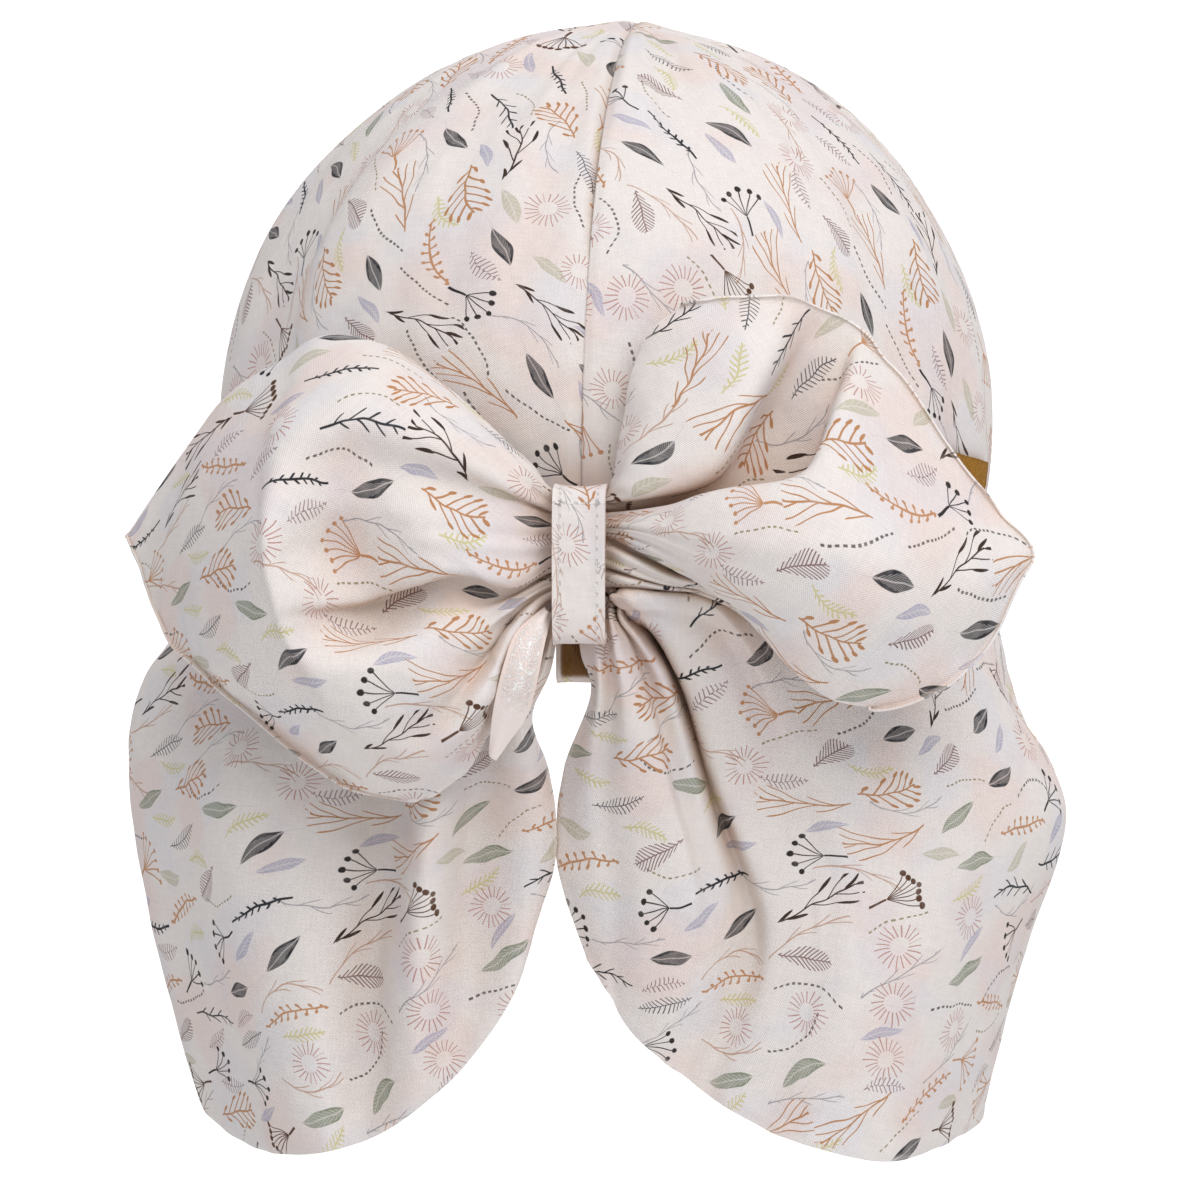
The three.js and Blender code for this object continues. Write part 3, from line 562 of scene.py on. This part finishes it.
def bow_wing(name, rows, columns, across, seed, hems, gathers, calm, crisp=None):
    """A wing of the bow. Crisp names the column behind which its folds turn sharply."""
    folds = [[row[column] for column in columns] for row in rows]
    for fold, row in zip(folds, rows):
        outer, hem = np.array(fold[-2], float), np.array(fold[-1], float)
        aside = (hem - outer) * (1, 0, 1)
        fold[-1] = hem - aside / np.linalg.norm(aside) * row.get("lip", PLAIN_LIP)
        fold.append(hem + (0, LIP_FORWARD, 0))
        x, y, z = fold[0]
        fold.insert(0, (0.15 * x, y, z))
        if crisp is not None:
            k = columns.index(crisp) + 1
            before, after = np.array(fold[k], float), np.array(fold[k + 1], float)
            fold.insert(k + 1, before + (after - before) * row["bend"])
    grid = folded_grid(folds, 14, across)
    grid, facts = soften(grid, 0.004, WING_PLEATS | gathers, 0.4 * MM, seed, hems, calm)
    return sew(name, grid, facts, (0, -1, 0), CLOTH, grain=WING_GRAIN)


def neck_flap(name, rows, across, seed):
    folds = []
    for row in rows:
        top = rim_point(row["turn"])
        hanging = [np.array(row[column], float) for column in FLAP_COLUMNS]
        drawn = np.array(row["drawn"] or top + DRAWN_SHARE * (hanging[0] - top), float)
        neck = np.array(row["neck"] or drawn + NECK_SHARE * (hanging[0] - drawn), float)
        folds.append([top, drawn, neck, *hanging])
    grid = folded_grid(folds, 15, across)
    grid, facts = soften(grid, 0.012, FLAP_PLEATS, 0.5 * MM, seed, ("end", "first", "last"))
    return sew(name, grid, facts, (0, -1, 0), CLOTH, grain=FLAP_GRAIN)


def turned_edge():
    grid = folded_grid([[row[column] for column in STRIP_COLUMNS] for row in TURNED_EDGE], 14, 10)
    along = lengths(grid, 0)
    across = lengths(grid, 1)
    relief = 0.25 * MM * ripple(across / 0.004, along / 0.009, seed=4.4)
    distance = np.minimum(across, across[:, -1:] - across)
    grid = grid + grid_normals(grid) * relief[..., None]
    return sew("turned_edge_strip", grid, {"hem": distance, "run": along}, (0, -1, 0), CLOTH, two_sided=False)


def strap():
    path = smooth_runs([[(0, row["depth"] * MM, row["height"] * MM)] for row in LOOP_PATH], LOOP_STEPS)[:, 0]
    share = np.linspace(-0.5, 0.5, 21)
    width = LOOP_WIDTH * (1 - 0.03 * np.linspace(0, 1, len(path)))
    grid = np.repeat(path[:, None, :], len(share), axis=1)
    grid[..., 0] = LOOP_SHIFT + width[:, None] * share[None, :]
    along = lengths(grid, 0)
    off_edge = (0.5 - np.abs(share))[None, :] * width[:, None]
    relief = 0.25 * MM * smoothstep(off_edge, 0, 0.0012) + 0.2 * MM * ripple(grid[..., 0] / 0.004, along / 0.007)
    relief -= 0.12 * MM * bell(off_edge - STRAP_STITCH, 0.0004)
    cross = np.abs(along - STRAP_CROSS_STITCH)
    relief -= 0.2 * MM * bell(cross, 0.0005)
    along_edge = np.abs(off_edge - STRAP_STITCH)
    run = np.where(cross < along_edge, grid[..., 0], along)
    hanging = along - along[HANGING_FROM * LOOP_STEPS]
    stitch = np.where(hanging > 0, FAR, np.minimum(along_edge, cross))
    # Painted shade: the 'deep' fact marks where the hanging part is tinted dark ochre, apart from a narrow margin
    # along one edge.
    deep = PAINTED_HOLLOW_DEPTH * bell(np.maximum(np.abs(hanging - PAINTED_HOLLOW_PLACE) - PAINTED_HOLLOW_HALF, 0), 0.8 * MM)
    deep = deep * smoothstep((0.5 + share)[None, :] * width[:, None], 0.5 * MM, 1.3 * MM)
    facts = {"hem": off_edge, "run": run, "stitch": stitch, "deep": deep}
    grid = grid - grid_normals(grid) * relief[..., None]
    return sew("bow_strap", grid, facts, (0, -1, 0.2), STRAP_CLOTH, two_sided=False)


def peak():
    side, reach = np.meshgrid(np.linspace(-1, 1, 120), np.linspace(0, 1, 34))
    turn = math.pi + PEAK_HALF_ANGLE * side
    share = PEAK_END + (1 - PEAK_END) * np.maximum(np.cos(math.pi / 2 * side), 0) ** 0.7
    fall = PEAK_SIDE_DROOP * side**2 * (1 - smoothstep(np.abs(side), 0.8, 1))
    out = PEAK_LENGTH * share * reach
    rim = np.array([rim_point(math.degrees(t)) for t in turn[0]]) * MM
    grid = np.repeat(rim[None], len(reach), axis=0)
    grid[..., 0] += out * np.sin(turn) * PEAK_SPREAD
    grid[..., 1] -= out * np.cos(turn)
    grid[..., 2] -= PEAK_CLOTH / 2 + PEAK_DROOP * share * reach**1.4 + fall * reach
    off_edge = (1 - reach) * PEAK_LENGTH * share
    rows_of_stitches = np.min([np.abs(off_edge - row) for row in PEAK_STITCHES], axis=0)
    facts = {"hem": off_edge, "run": turn * 0.12, "stitch": rows_of_stitches}
    return sew("soft_peak", grid, facts, (0, 0.2, 1), PEAK_CLOTH)


def side_label():
    """A narrow woven label, folded double along its lower edge."""
    span, round_fold = np.meshgrid(np.linspace(0, 1, 60), np.linspace(-1, 1, 41))
    low, high = LABEL_HEIGHTS
    rise = np.abs(round_fold)
    level = low + (high - low) * rise + LABEL_RISE * (1 - span)
    fall = np.arccos((level - CROWN_WIDEST) / CROWN_HALF[2])
    turn = np.radians(LABEL_TURNS[0] + (LABEL_TURNS[1] - LABEL_TURNS[0]) * span)
    points, normals = crown_surface(fall, turn)
    layer = LABEL_CLOTH * np.tanh(round_fold / 0.08)
    lift = LABEL_CLEAR + layer / 2 + crown_relief(fall, turn, points[..., 2]) * 0.6
    points = points + normals * lift[..., None]
    from_end = np.minimum(span, 1 - span) * LABEL_LENGTH
    edge = np.minimum(from_end, (1 - rise) * (high - low))
    facts = {"hem": edge, "run": rise * (high - low), "stitch": np.abs(from_end - LABEL_STITCH)}
    return sew("mustard_label", points, facts, (0, 0, -1), 0.45 * MM, two_sided=False)


def srgb(code):
    """A linear colour from a hexadecimal screen colour."""
    parts = [(code >> shift & 255) / 255 for shift in (16, 8, 0)]
    return (*[c / 12.92 if c < 0.04045 else ((c + 0.055) / 1.055) ** 2.4 for c in parts], 1.0)


class Wire:
    """A value that varies over a surface. Arithmetic on a number adds Math nodes to its material."""

    def __init__(self, look, socket):
        self.look = look
        self.socket = socket

    def __add__(self, other):
        return self.look.math("ADD", self, other)

    def __sub__(self, other):
        return self.look.math("SUBTRACT", self, other)

    def __rsub__(self, other):
        return self.look.math("SUBTRACT", other, self)

    def __mul__(self, other):
        return self.look.math("MULTIPLY", self, other)

    def __truediv__(self, other):
        return self.look.math("DIVIDE", self, other)

    def __neg__(self):
        return self.look.math("MULTIPLY", self, -1)

    def __abs__(self):
        return self.look.math("ABSOLUTE", self)

    def __floor__(self):
        return self.look.math("FLOOR", self)

    def fraction(self):
        return self.look.math("FRACT", self)

    __radd__ = __add__
    __rmul__ = __mul__


class Look:
    """A material under construction."""

    def __init__(self, name, roughness):
        self.material = bpy.data.materials.new(name)
        self.material.use_nodes = True
        self.tree = self.material.node_tree
        self.shader = self.tree.nodes["Principled BSDF"]
        self.shader.inputs["Roughness"].default_value = roughness
        self.shader.inputs["Specular IOR Level"].default_value = 0.25

    def give(self, socket, value):
        if isinstance(value, Wire):
            self.tree.links.new(value.socket, socket)
        else:
            socket.default_value = value

    def node(self, kind, settings, inputs, outputs=0):
        """Any node: its settings are set first, then the values or links of its sockets."""
        made = self.tree.nodes.new("ShaderNode" + kind)
        for key, value in settings.items():
            setattr(made, key, value)
        for key, value in inputs.items():
            self.give(made.inputs[key], value)
        if isinstance(outputs, int):
            return Wire(self, made.outputs[outputs])
        return [Wire(self, made.outputs[k]) for k in outputs]

    def math(self, operation, *values):
        return self.node("Math", {"operation": operation}, dict(enumerate(values)))

    def most(self, *values):
        result = values[0]
        for value in values[1:]:
            result = self.math("MAXIMUM", result, value)
        return result

    def below(self, value, edge, soft):
        """1 where the value is below the edge, 0 above it, with a soft step between."""
        spread = {"Value": value, "From Min": edge - soft, "From Max": edge + soft, "To Min": 1.0, "To Max": 0.0}
        return self.node("MapRange", {"interpolation_type": "SMOOTHSTEP"}, spread)

    def mix(self, share, base, top):
        return self.node("Mix", {"data_type": "RGBA"}, {0: share, 6: base, 7: top}, 2)

    def tinted(self, share, base, tint):
        """The base colour multiplied by a tint."""
        return self.node("Mix", {"data_type": "RGBA", "blend_type": "MULTIPLY"}, {0: share, 6: base, 7: tint}, 2)

    def pair(self, x, y, z=0.0):
        return self.node("CombineXYZ", {}, {0: x, 1: y, 2: z})

    def split(self, vector):
        return self.node("SeparateXYZ", {}, {0: vector}, (0, 1, 2))

    def turned(self, vector, angle):
        return self.node("VectorRotate", {"rotation_type": "Z_AXIS"}, {"Vector": vector, "Angle": angle})

    def shaken(self, place, scale, amount, seed):
        """A place moved by smooth noise, for lines that look drawn by hand."""
        aside = self.node("VectorMath", {"operation": "ADD"}, {0: place, 1: (seed, 0.0, 0.0)})
        sway = self.node("TexNoise", {"noise_dimensions": "2D"}, {"Vector": aside, "Scale": scale, "Detail": 0.0}, 1)
        sway = self.node("VectorMath", {"operation": "SUBTRACT"}, {0: sway, 1: (0.5, 0.5, 0.5)})
        return self.node("VectorMath", {"operation": "ADD"}, {0: place, 1: self.scaled(sway, amount)})

    def scaled(self, vector, amount):
        return self.node("VectorMath", {"operation": "SCALE"}, {0: vector, "Scale": amount})

    def random(self, place):
        return self.split(self.node("TexWhiteNoise", {"noise_dimensions": "3D"}, {"Vector": place}, 1))

    def noise(self, place, scale, detail=2.0):
        inputs = {"Vector": place, "Scale": scale, "Detail": detail}
        return self.node("TexNoise", {"noise_dimensions": "2D"}, inputs)

    def wave(self, value, pitch):
        return self.math("SINE", value * (2 * math.pi / pitch))

    def fact(self, name):
        """A value that the cloth carries at each point, in millimetres."""
        return self.node("Attribute", {"attribute_name": name}, {}, 2) * 1000

    def flat(self):
        """The place on the flat cloth, in millimetres."""
        place = self.node("UVMap", {"uv_map": "flat"}, {})
        return self.scaled(place, 1000.0)

    def pick(self, chance, colours):
        """The colour of the row that a cell's random number picks."""
        ramp = self.tree.nodes.new("ShaderNodeValToRGB")
        ramp.color_ramp.interpolation = "CONSTANT"
        stops = ramp.color_ramp.elements
        stops.remove(stops[-1])
        for k, colour in enumerate(colours):
            stop = stops[0] if k == 0 else stops.new(k / len(colours))
            stop.color = colour
        self.give(ramp.inputs[0], chance)
        return Wire(self, ramp.outputs[0])

    def choose(self, chance, rows, columns, largest):
        """Three columns of the row that a cell's random number picks."""
        packed = self.pick(chance, [(*[row[c] / largest for c in columns], 1.0) for row in rows])
        return [part * largest for part in self.split(packed)]

    def finish(self, colour, heights, depth):
        self.give(self.shader.inputs["Base Color"], colour)
        relief = {"Height": heights, "Distance": depth, "Strength": 1.0}
        self.give(self.shader.inputs["Normal"], self.node("Bump", {}, relief))
        return self.material


# Cells of the print: width and height in millimetres, turn in degrees and lift. The small motifs lie between the
# rows of the large ones.
MAIN_CELL = (17.5, 10.8, 62, 0.0)
SMALL_CELL = (17.5, 10.8, 62, 5.4)
SPRAY_SHARE = 0.32

# Motifs of the print, in millimetres. A sprig has a stem with side strokes: half its length, the spacing and slope of
# the strokes, how far they reach, how much they shorten to the tip, and the size of the dots at their ends. Fill 1
# makes a solid leaf and dash 1 a broken stem. A spray has rays from one point: its opening is in degrees.
SPRIG_TRAITS = ("motif", "ink", "half", "spacing", "slope", "reach", "taper", "stroke", "dot", "fill", "dash")
SPRIGS = table(SPRIG_TRAITS, [
    ("berry sprig", 0xC08A60, 6.8, 2.3, 1.1, 3.7, 0.25, 0.16, 0.55, 0, 0),
    ("dark leaf", 0x2E2E33, 4.9, 0.7, 2.4, 1.6, 0, 0.08, 0, 1, 0),
    ("fern", 0x45474F, 6.2, 0.95, 0.5, 2, 0.1, 0.09, 0, 0, 0),
    ("long twig", 0x34353A, 8.6, 3.4, 1.5, 1.6, 0.3, 0.16, 0.22, 0, 0),
    ("leaf pairs", 0xC6926B, 8.2, 2.2, 0.5, 1.3, 0.1, 0.17, 0.4, 0, 0),
    ("bud stem", 0x43332B, 7.6, 4.6, 2.2, 3.2, -0.2, 0.13, 0.82, 0, 0),
    ("speckled leaf", 0x8D937E, 6, 1, 1.6, 1.5, 0, 0.2, 0, 1, 0),
    ("tall branch", 0xC08A60, 8.6, 4.6, 2.6, 3.4, 0.4, 0.15, 0.4, 0, 0),
    ("thorn twig", 0x2F3035, 7.4, 1.9, 0.9, 1, 0, 0.19, 0, 0, 0),
    ("rosy leaf", 0x8A6B68, 5, 0.85, 1, 2.2, 0.2, 0.1, 0.17, 0, 0),
])
SMALL_SPRIGS = table(SPRIG_TRAITS, [
    ("lavender leaf", 0xADA9BE, 4.6, 1, 1.4, 1.1, 0, 0.16, 0, 1, 0),
    ("dotted arc", 0x4E443E, 7.4, 7, 0.4, 0.1, 0, 0.2, 0, 0, 1),
    ("pale yellow sprig", 0xD3C98C, 5, 1.1, 0.8, 1.3, 0.2, 0.14, 0.2, 0, 0),
    ("long grass", 0xC39A82, 8.6, 6, 3.2, 1.5, 0, 0.13, 0, 0, 0),
    ("plum dashes", 0x8E6A70, 4.8, 0.9, 0.3, 1.8, 0.2, 0.1, 0, 0, 1),
    ("grey grass", 0x9C989E, 8.6, 5.2, 2.8, 1.2, 0.2, 0.1, 0.2, 0, 0),
    ("beige leaf", 0xC6BFA9, 4.8, 1.3, 1.4, 1.3, 0, 0.14, 0, 1, 0),
    ("fine dotted arc", 0x8C7F55, 6.4, 7, 0.4, 0.1, 0, 0.16, 0, 0, 1),
])
SPRAYS = table(("motif", "ink", "step", "open", "near", "far", "dot", "stroke", "base"), [
    ("seed head", 0x5E3F2D, 11, 42, 0, 7.4, 0.62, 0.1, 5.4),
    ("blush star", 0xC09088, 18, 180, 1.8, 4.6, 0.12, 0.1, 0),
    ("terracotta fan", 0xC6926B, 15, 52, 0, 7.8, 0.45, 0.13, 5),
    ("dark seed head", 0x35302F, 21, 46, 0, 6.4, 0.6, 0.12, 4.8),
])
WEAVE_PITCH = 0.5
RIB_PITCH = 0.45
TWILL_PITCH = 0.8
OVERLOCK_MIDDLE = 13
OVERLOCK_HALF = 9
GROUND = srgb(0xEFE6E1)
BLUSH = srgb(0xEFD8D0)
COOL = srgb(0xE1DEE6)
# Painted shade: deep folds are tinted towards this ochre where ambient occlusion, within the reach below, finds
# little open air.
PAINTED_FOLD_SHADE = srgb(0xCDA97C)
PAINTED_FOLD_SHADE_REACH = 12 * MM
# Painted shade of the strap's hanging part, where it lies under the bow.
PAINTED_HOLLOW_SHADE = srgb(0x8A6A42)
SEWING_THREAD = srgb(0xF4EFEA)
TURNED_HEM = srgb(0xF3ECE7)


def cells(look, place, width, height, turn, lift, seed):
    """Rows of cells, each row shifted by its own amount: the place in the cell and its three random numbers."""
    x, y, _ = look.split(look.turned(place, math.radians(turn)))
    y = y + lift
    row = (y / height).__floor__()
    x = x + look.random(look.pair(row, seed, 3.0))[0] * width
    column = (x / width).__floor__()
    chances = look.random(look.pair(column, row, seed))
    return look.pair(x - (column + 0.5) * width, y - (row + 0.5) * height), chances


def sprig_ink(look, place, chance, rows, bend=0.0):
    """The ink of stemmed motifs, and its colour."""
    half, spacing, reach = look.choose(chance, rows, ("half", "spacing", "reach"), 12.0)
    slope, stroke, dot = look.choose(chance, rows, ("slope", "stroke", "dot"), 4.0)
    taper, fill, dash = look.choose(chance, [{**r, "taper": r["taper"] + 1} for r in rows],
                                    ("taper", "fill", "dash"), 2.0)
    x, y, _ = look.split(place)
    y = y - x * x * bend
    across = abs(y)
    along = (x - across * slope + look.math("SIGN", y) * spacing * 0.2) / spacing
    number = along.__floor__()
    root = (number + 0.5) * spacing / half
    length = reach * look.most(1 - root * root, 0) * (1 - (taper - 1) * root)
    off_stroke = abs(along - number - 0.5) * spacing
    side = look.below(off_stroke / (1 + slope * 0.5) - stroke, 0, 0.07) * look.below(across - length, 0, 0.1)
    off_tip = look.math("SQRT", off_stroke * off_stroke + (across - length) * (across - length))
    tips = look.below(off_tip - dot, 0, 0.08) * look.below(abs(root), 0.96, 0.02)
    on_stem = look.below(abs(x) - half, 0, 0.1)
    gap = look.below(abs((x * 0.8).fraction() - 0.5), 0.28, 0.05) * dash + (1 - dash)
    stem = look.below(across - stroke * 1.15, 0, 0.07) * on_stem * gap
    whole = x / half
    leaf = look.below(across - reach * look.most(1 - whole * whole, 0), 0, 0.1) * fill
    veined = leaf * (0.95 - 0.32 * side) * (1 - 0.5 * look.below(across, 0.12, 0.06))
    plain_ink = look.most(side * on_stem, tips, stem) * (1 - fill)
    return look.most(plain_ink, veined), look.pick(chance, [srgb(row["ink"]) for row in rows])


def spray_ink(look, place, chance, rows):
    """The ink of motifs whose rays leave one point, and its colour."""
    step, wide, far = look.choose(chance, rows, ("step", "open", "far"), 180.0)
    near, dot, stroke = look.choose(chance, rows, ("near", "dot", "stroke"), 4.0)
    base = look.choose(chance, rows, ("base", "near", "dot"), 8.0)[0]
    x, y, _ = look.split(place)
    x = x + base
    distance = look.math("SQRT", x * x + y * y)
    angle = look.math("ARCTAN2", y, x) * math.degrees(1) / step
    number = look.math("ROUND", angle)
    off_ray = abs(angle - number) * step * math.radians(1) * distance
    ends = far * (1 - 0.12 * abs(look.math("SINE", number * 2.3)))
    inside = look.below(abs(number) * step - wide, 0, 2.0)
    ray = look.below(off_ray - stroke, 0, 0.07) * look.below(distance - ends, 0, 0.1)
    ray = ray * look.below(near - distance, 0, 0.1)
    off_tip = look.math("SQRT", off_ray * off_ray + (distance - ends) * (distance - ends))
    tips = look.below(off_tip - dot, 0, 0.1)
    stalk = look.below(abs(y), 0.24, 0.07) * look.below(abs(x + 2.2), 2.2, 0.1) * look.below(0.5 - base, 0, 0.1)
    return look.most(look.most(ray, tips) * inside, stalk), look.pick(chance, [srgb(row["ink"]) for row in rows])


def printed_cotton(name, strength):
    """A plain weave with a scattered print of sprigs, leaves and seed heads. It has painted shade: ochre in deep
    folds, and dark ochre in the strap's hollow.
    """
    look = Look(name, 0.92)
    place = look.flat()
    drawn = look.shaken(look.shaken(place, 0.02, 9.0, 40.0), 0.22, 1.0, 90.0)
    wear = look.noise(place, 0.35, 1.0)

    colour = look.mix(look.below(look.noise(place, 0.045, 1.0), 0.44, 0.09) * 0.55, GROUND, BLUSH)
    colour = look.mix(look.below(look.noise(place, 0.06, 1.0), 0.42, 0.1) * 0.35, colour, COOL)

    strength = strength * (0.85 + 0.3 * wear)
    local, (kind, spin, bend) = cells(look, drawn, *SMALL_CELL, seed=5.0)
    local = look.turned(local, (spin - 0.5) * 0.9)
    ink, tint = sprig_ink(look, local, kind, SMALL_SPRIGS, (bend - 0.5) * 0.12)
    colour = look.mix(ink * strength * 0.85, colour, tint)

    local, (kind, spin, bend) = cells(look, drawn, *MAIN_CELL, seed=1.0)
    is_spray = look.below(bend, SPRAY_SHARE, 0.001)
    facing = look.math("SIGN", spin - 0.5)
    local = look.turned(local, (spin * 2).fraction() * 0.9 - 0.45)
    local = look.scaled(local, facing)
    ink, tint = sprig_ink(look, local, kind, SPRIGS, (bend - 0.6) * 0.08)
    colour = look.mix(ink * strength * (1 - is_spray), colour, tint)
    ink, tint = spray_ink(look, local, kind, SPRAYS)
    colour = look.mix(ink * strength * is_spray, colour, tint)

    u, v, _ = look.split(place)
    threads = look.noise(look.pair(u * 0.25, v * 2.4), 1.0, 0.0)
    threads = threads + look.noise(look.pair(u * 2.4, v * 0.25), 1.0, 0.0)
    weave = look.wave(u, WEAVE_PITCH) * look.wave(v, WEAVE_PITCH)
    shade = 0.93 + 0.07 * threads + 0.015 * weave

    hem = look.fact("hem")
    row = look.fact("stitch")
    beat = abs((look.fact("run") / 2.2).fraction() - 0.5)
    thread = look.below(row, 0.17, 0.08) * look.below(beat, 0.34, 0.04)
    hole = look.below(row, 0.24, 0.1) * (1 - look.below(beat, 0.36, 0.04))
    colour = look.mix(thread * 0.75, colour, SEWING_THREAD)
    colour = look.mix(look.below(hem, 0.9, 0.5) * 0.35, colour, TURNED_HEM)
    shade = shade * (1 - 0.14 * hole) * (1 - 0.22 * look.below(look.fact("seam"), 0.25, 0.25))
    colour = look.scaled(colour, shade)
    # Painted shade: creases and hollows are tinted ochre, by up to 60%, where ambient occlusion finds them closed in.
    open_air = look.node("AmbientOcclusion", {"samples": 1}, {"Distance": PAINTED_FOLD_SHADE_REACH}, 1)
    colour = look.tinted(look.below(open_air, 0.42, 0.4) * 0.6, colour, PAINTED_FOLD_SHADE)
    # Painted shade: the strap's hanging part is tinted dark ochre where its 'deep' fact is high, standing in for the
    # shadow under the bow.
    colour = look.tinted(1 - look.below(look.fact("deep"), 4, 4), colour, PAINTED_HOLLOW_SHADE)

    heights = 0.2 * look.noise(place, 0.2, 1.0) + 0.03 * weave + 0.07 * thread - 0.1 * hole
    return look.finish(colour, heights, 1.6 * MM)


def mustard_weave(name):
    look = Look(name, 0.8)
    place = look.flat()
    u, v, _ = look.split(place)
    rib = look.wave(v, RIB_PITCH)
    twill = look.wave(u + v, TWILL_PITCH)
    speck = look.noise(place, 1.2, 2.0)
    hem = look.fact("hem")
    beat = abs((look.fact("run") / 1.5).fraction() - 0.5)
    thread = look.below(look.fact("stitch"), 0.16, 0.08) * look.below(beat, 0.36, 0.05)
    colour = look.mix(speck, srgb(0x9F6A1A), srgb(0xBD8730))
    colour = look.mix(look.below(hem, 0.5, 0.3) * 0.35, colour, srgb(0x8A5A14))
    colour = look.mix(thread * 0.6, colour, srgb(0xC99A48))
    return look.finish(colour, 0.1 * rib + 0.08 * twill + 0.2 * thread, 1.0 * MM)


def overlocked_cotton(name):
    """The wrong side of the cotton at its cut edge, with the overlock thread that crosses it."""
    look = Look(name, 0.92)
    place = look.flat()
    run = look.fact("run")
    hem = look.fact("hem")
    slub = look.noise(place, 1.6, 2.0)
    curl = look.below(abs(look.noise(place, 0.8, 0.0) - 0.5), 0.05, 0.03)
    curl = look.most(curl, look.below(abs(look.noise(place, 1.1, 0.0) - 0.45), 0.05, 0.03))
    sewn = look.below(abs(run - OVERLOCK_MIDDLE), OVERLOCK_HALF, 3)
    thread = curl * sewn * look.below(0.9 - hem, 0, 0.3)
    colour = look.mix(slub * 0.5, srgb(0xF7EBE6), srgb(0xF1DDD5))
    colour = look.mix(sewn * 0.35, colour, srgb(0xE8CBBE))
    colour = look.mix(thread * 0.9, colour, srgb(0xFFFDFB))
    return look.finish(colour, 0.1 * slub + 0.15 * thread, 0.8 * MM)


def plain(name, colour, roughness=0.9):
    look = Look(name, roughness)
    look.shader.inputs["Base Color"].default_value = srgb(colour)
    return look.material


printed = printed_cotton("printed cotton", 1.0)
wrong_side = printed_cotton("printed cotton, wrong side", 0.35)
overlocked = overlocked_cotton("overlocked cotton")
mustard = mustard_weave("mustard label")
cotton = [printed, wrong_side]

for gore, turn in (("back_right", 0), ("front_right", 90), ("front_left", 180), ("back_left", 270)):
    finish_piece(crown_gore("crown_gore_" + gore, turn), "crown_" + gore, cotton)
left_wing = bow_wing("left_bow_wing", LEFT_WING, LEFT_WING_COLUMNS, 11, 2.0, ("end", "last"),
                     {"depth": 0.42, "until": 2.0}, 0.015, crisp="ridge")
right_wing = bow_wing("right_bow_wing", RIGHT_WING, RIGHT_WING_COLUMNS, 8, 6.0, ("end", "first"),
                      {"depth": 0.22, "until": 0.6}, 0.035)
left_flap = neck_flap("left_neck_flap", LEFT_FLAP, 15, 3.0)
right_flap = neck_flap("right_neck_flap", RIGHT_FLAP, 9, 8.0)
finish_piece(left_wing, "bow_wing_left", cotton)
finish_piece(right_wing, "bow_wing_right", cotton)
finish_piece(left_flap, "neck_flap_left", cotton)
finish_piece(right_flap, "neck_flap_right", cotton)
finish_piece(turned_edge(), "turned_edge", [overlocked])
finish_piece(strap(), "bow_loop", [printed])
finish_piece(peak(), "peak", cotton)
finish_piece(side_label(), "side_label", [mustard])


def stage_plane(name, place, size, turn, material):
    bm = bmesh.new()
    bmesh.ops.create_grid(bm, x_segments=1, y_segments=1, size=size)
    bmesh.ops.rotate(bm, verts=bm.verts, matrix=Matrix.Rotation(turn, 3, "X"))
    bmesh.ops.translate(bm, verts=bm.verts, vec=place)
    mesh = bpy.data.meshes.new(name)
    bm.to_mesh(mesh)
    bm.free()
    plane = bpy.data.objects.new(name, mesh)
    mesh.materials.append(material)
    bpy.context.scene.collection.objects.link(plane)


stage_plane("floor", (0, 0, FLOOR_HEIGHT), STAGE_SIZE, 0, plain("pale floor", 0xF7F7F7, 1.0))
paper = Look("white backdrop", 1.0)
paper.shader.inputs["Base Color"].default_value = (0.3, 0.3, 0.3, 1)
paper.shader.inputs["Emission Color"].default_value = (1, 1, 1, 1)
paper.shader.inputs["Emission Strength"].default_value = 1.0
stage_plane("backdrop", (0, BACKDROP_PLACE, BACKDROP_HEIGHT), BACKDROP_SIZE, math.pi / 2, paper.material)

world = bpy.data.worlds.new("studio")
world.use_nodes = True
world.node_tree.nodes["Background"].inputs["Color"].default_value = SKY
world.node_tree.nodes["Background"].inputs["Strength"].default_value = SKY_STRENGTH
bpy.context.scene.world = world
bpy.context.scene.view_settings.view_transform = "Standard"

key = bpy.data.lights.new("key", "AREA")
key.size = KEY_SIZE
key.energy = KEY_POWER
lamp = bpy.data.objects.new("key", key)
lamp.location = KEY_PLACE
lamp.rotation_euler = (Vector(KEY_AIM) - Vector(KEY_PLACE)).to_track_quat("-Z", "Y").to_euler()
bpy.context.scene.collection.objects.link(lamp)

view = Vector((
    math.sin(CAMERA_AZIMUTH) * math.cos(CAMERA_ELEVATION),
    -math.cos(CAMERA_AZIMUTH) * math.cos(CAMERA_ELEVATION),
    math.sin(CAMERA_ELEVATION),
))
lens = bpy.data.cameras.new("camera")
lens.sensor_width = SENSOR
lens.lens = SENSOR * CAMERA_DISTANCE / FRAME_WIDTH
lens.clip_end = 100
camera = bpy.data.objects.new("camera", lens)
camera.location = CAMERA_TARGET + view * CAMERA_DISTANCE
camera.rotation_euler = view.to_track_quat("Z", "Y").to_euler()
bpy.context.scene.collection.objects.link(camera)
bpy.context.scene.camera = camera

bpy.context.view_layer.update()
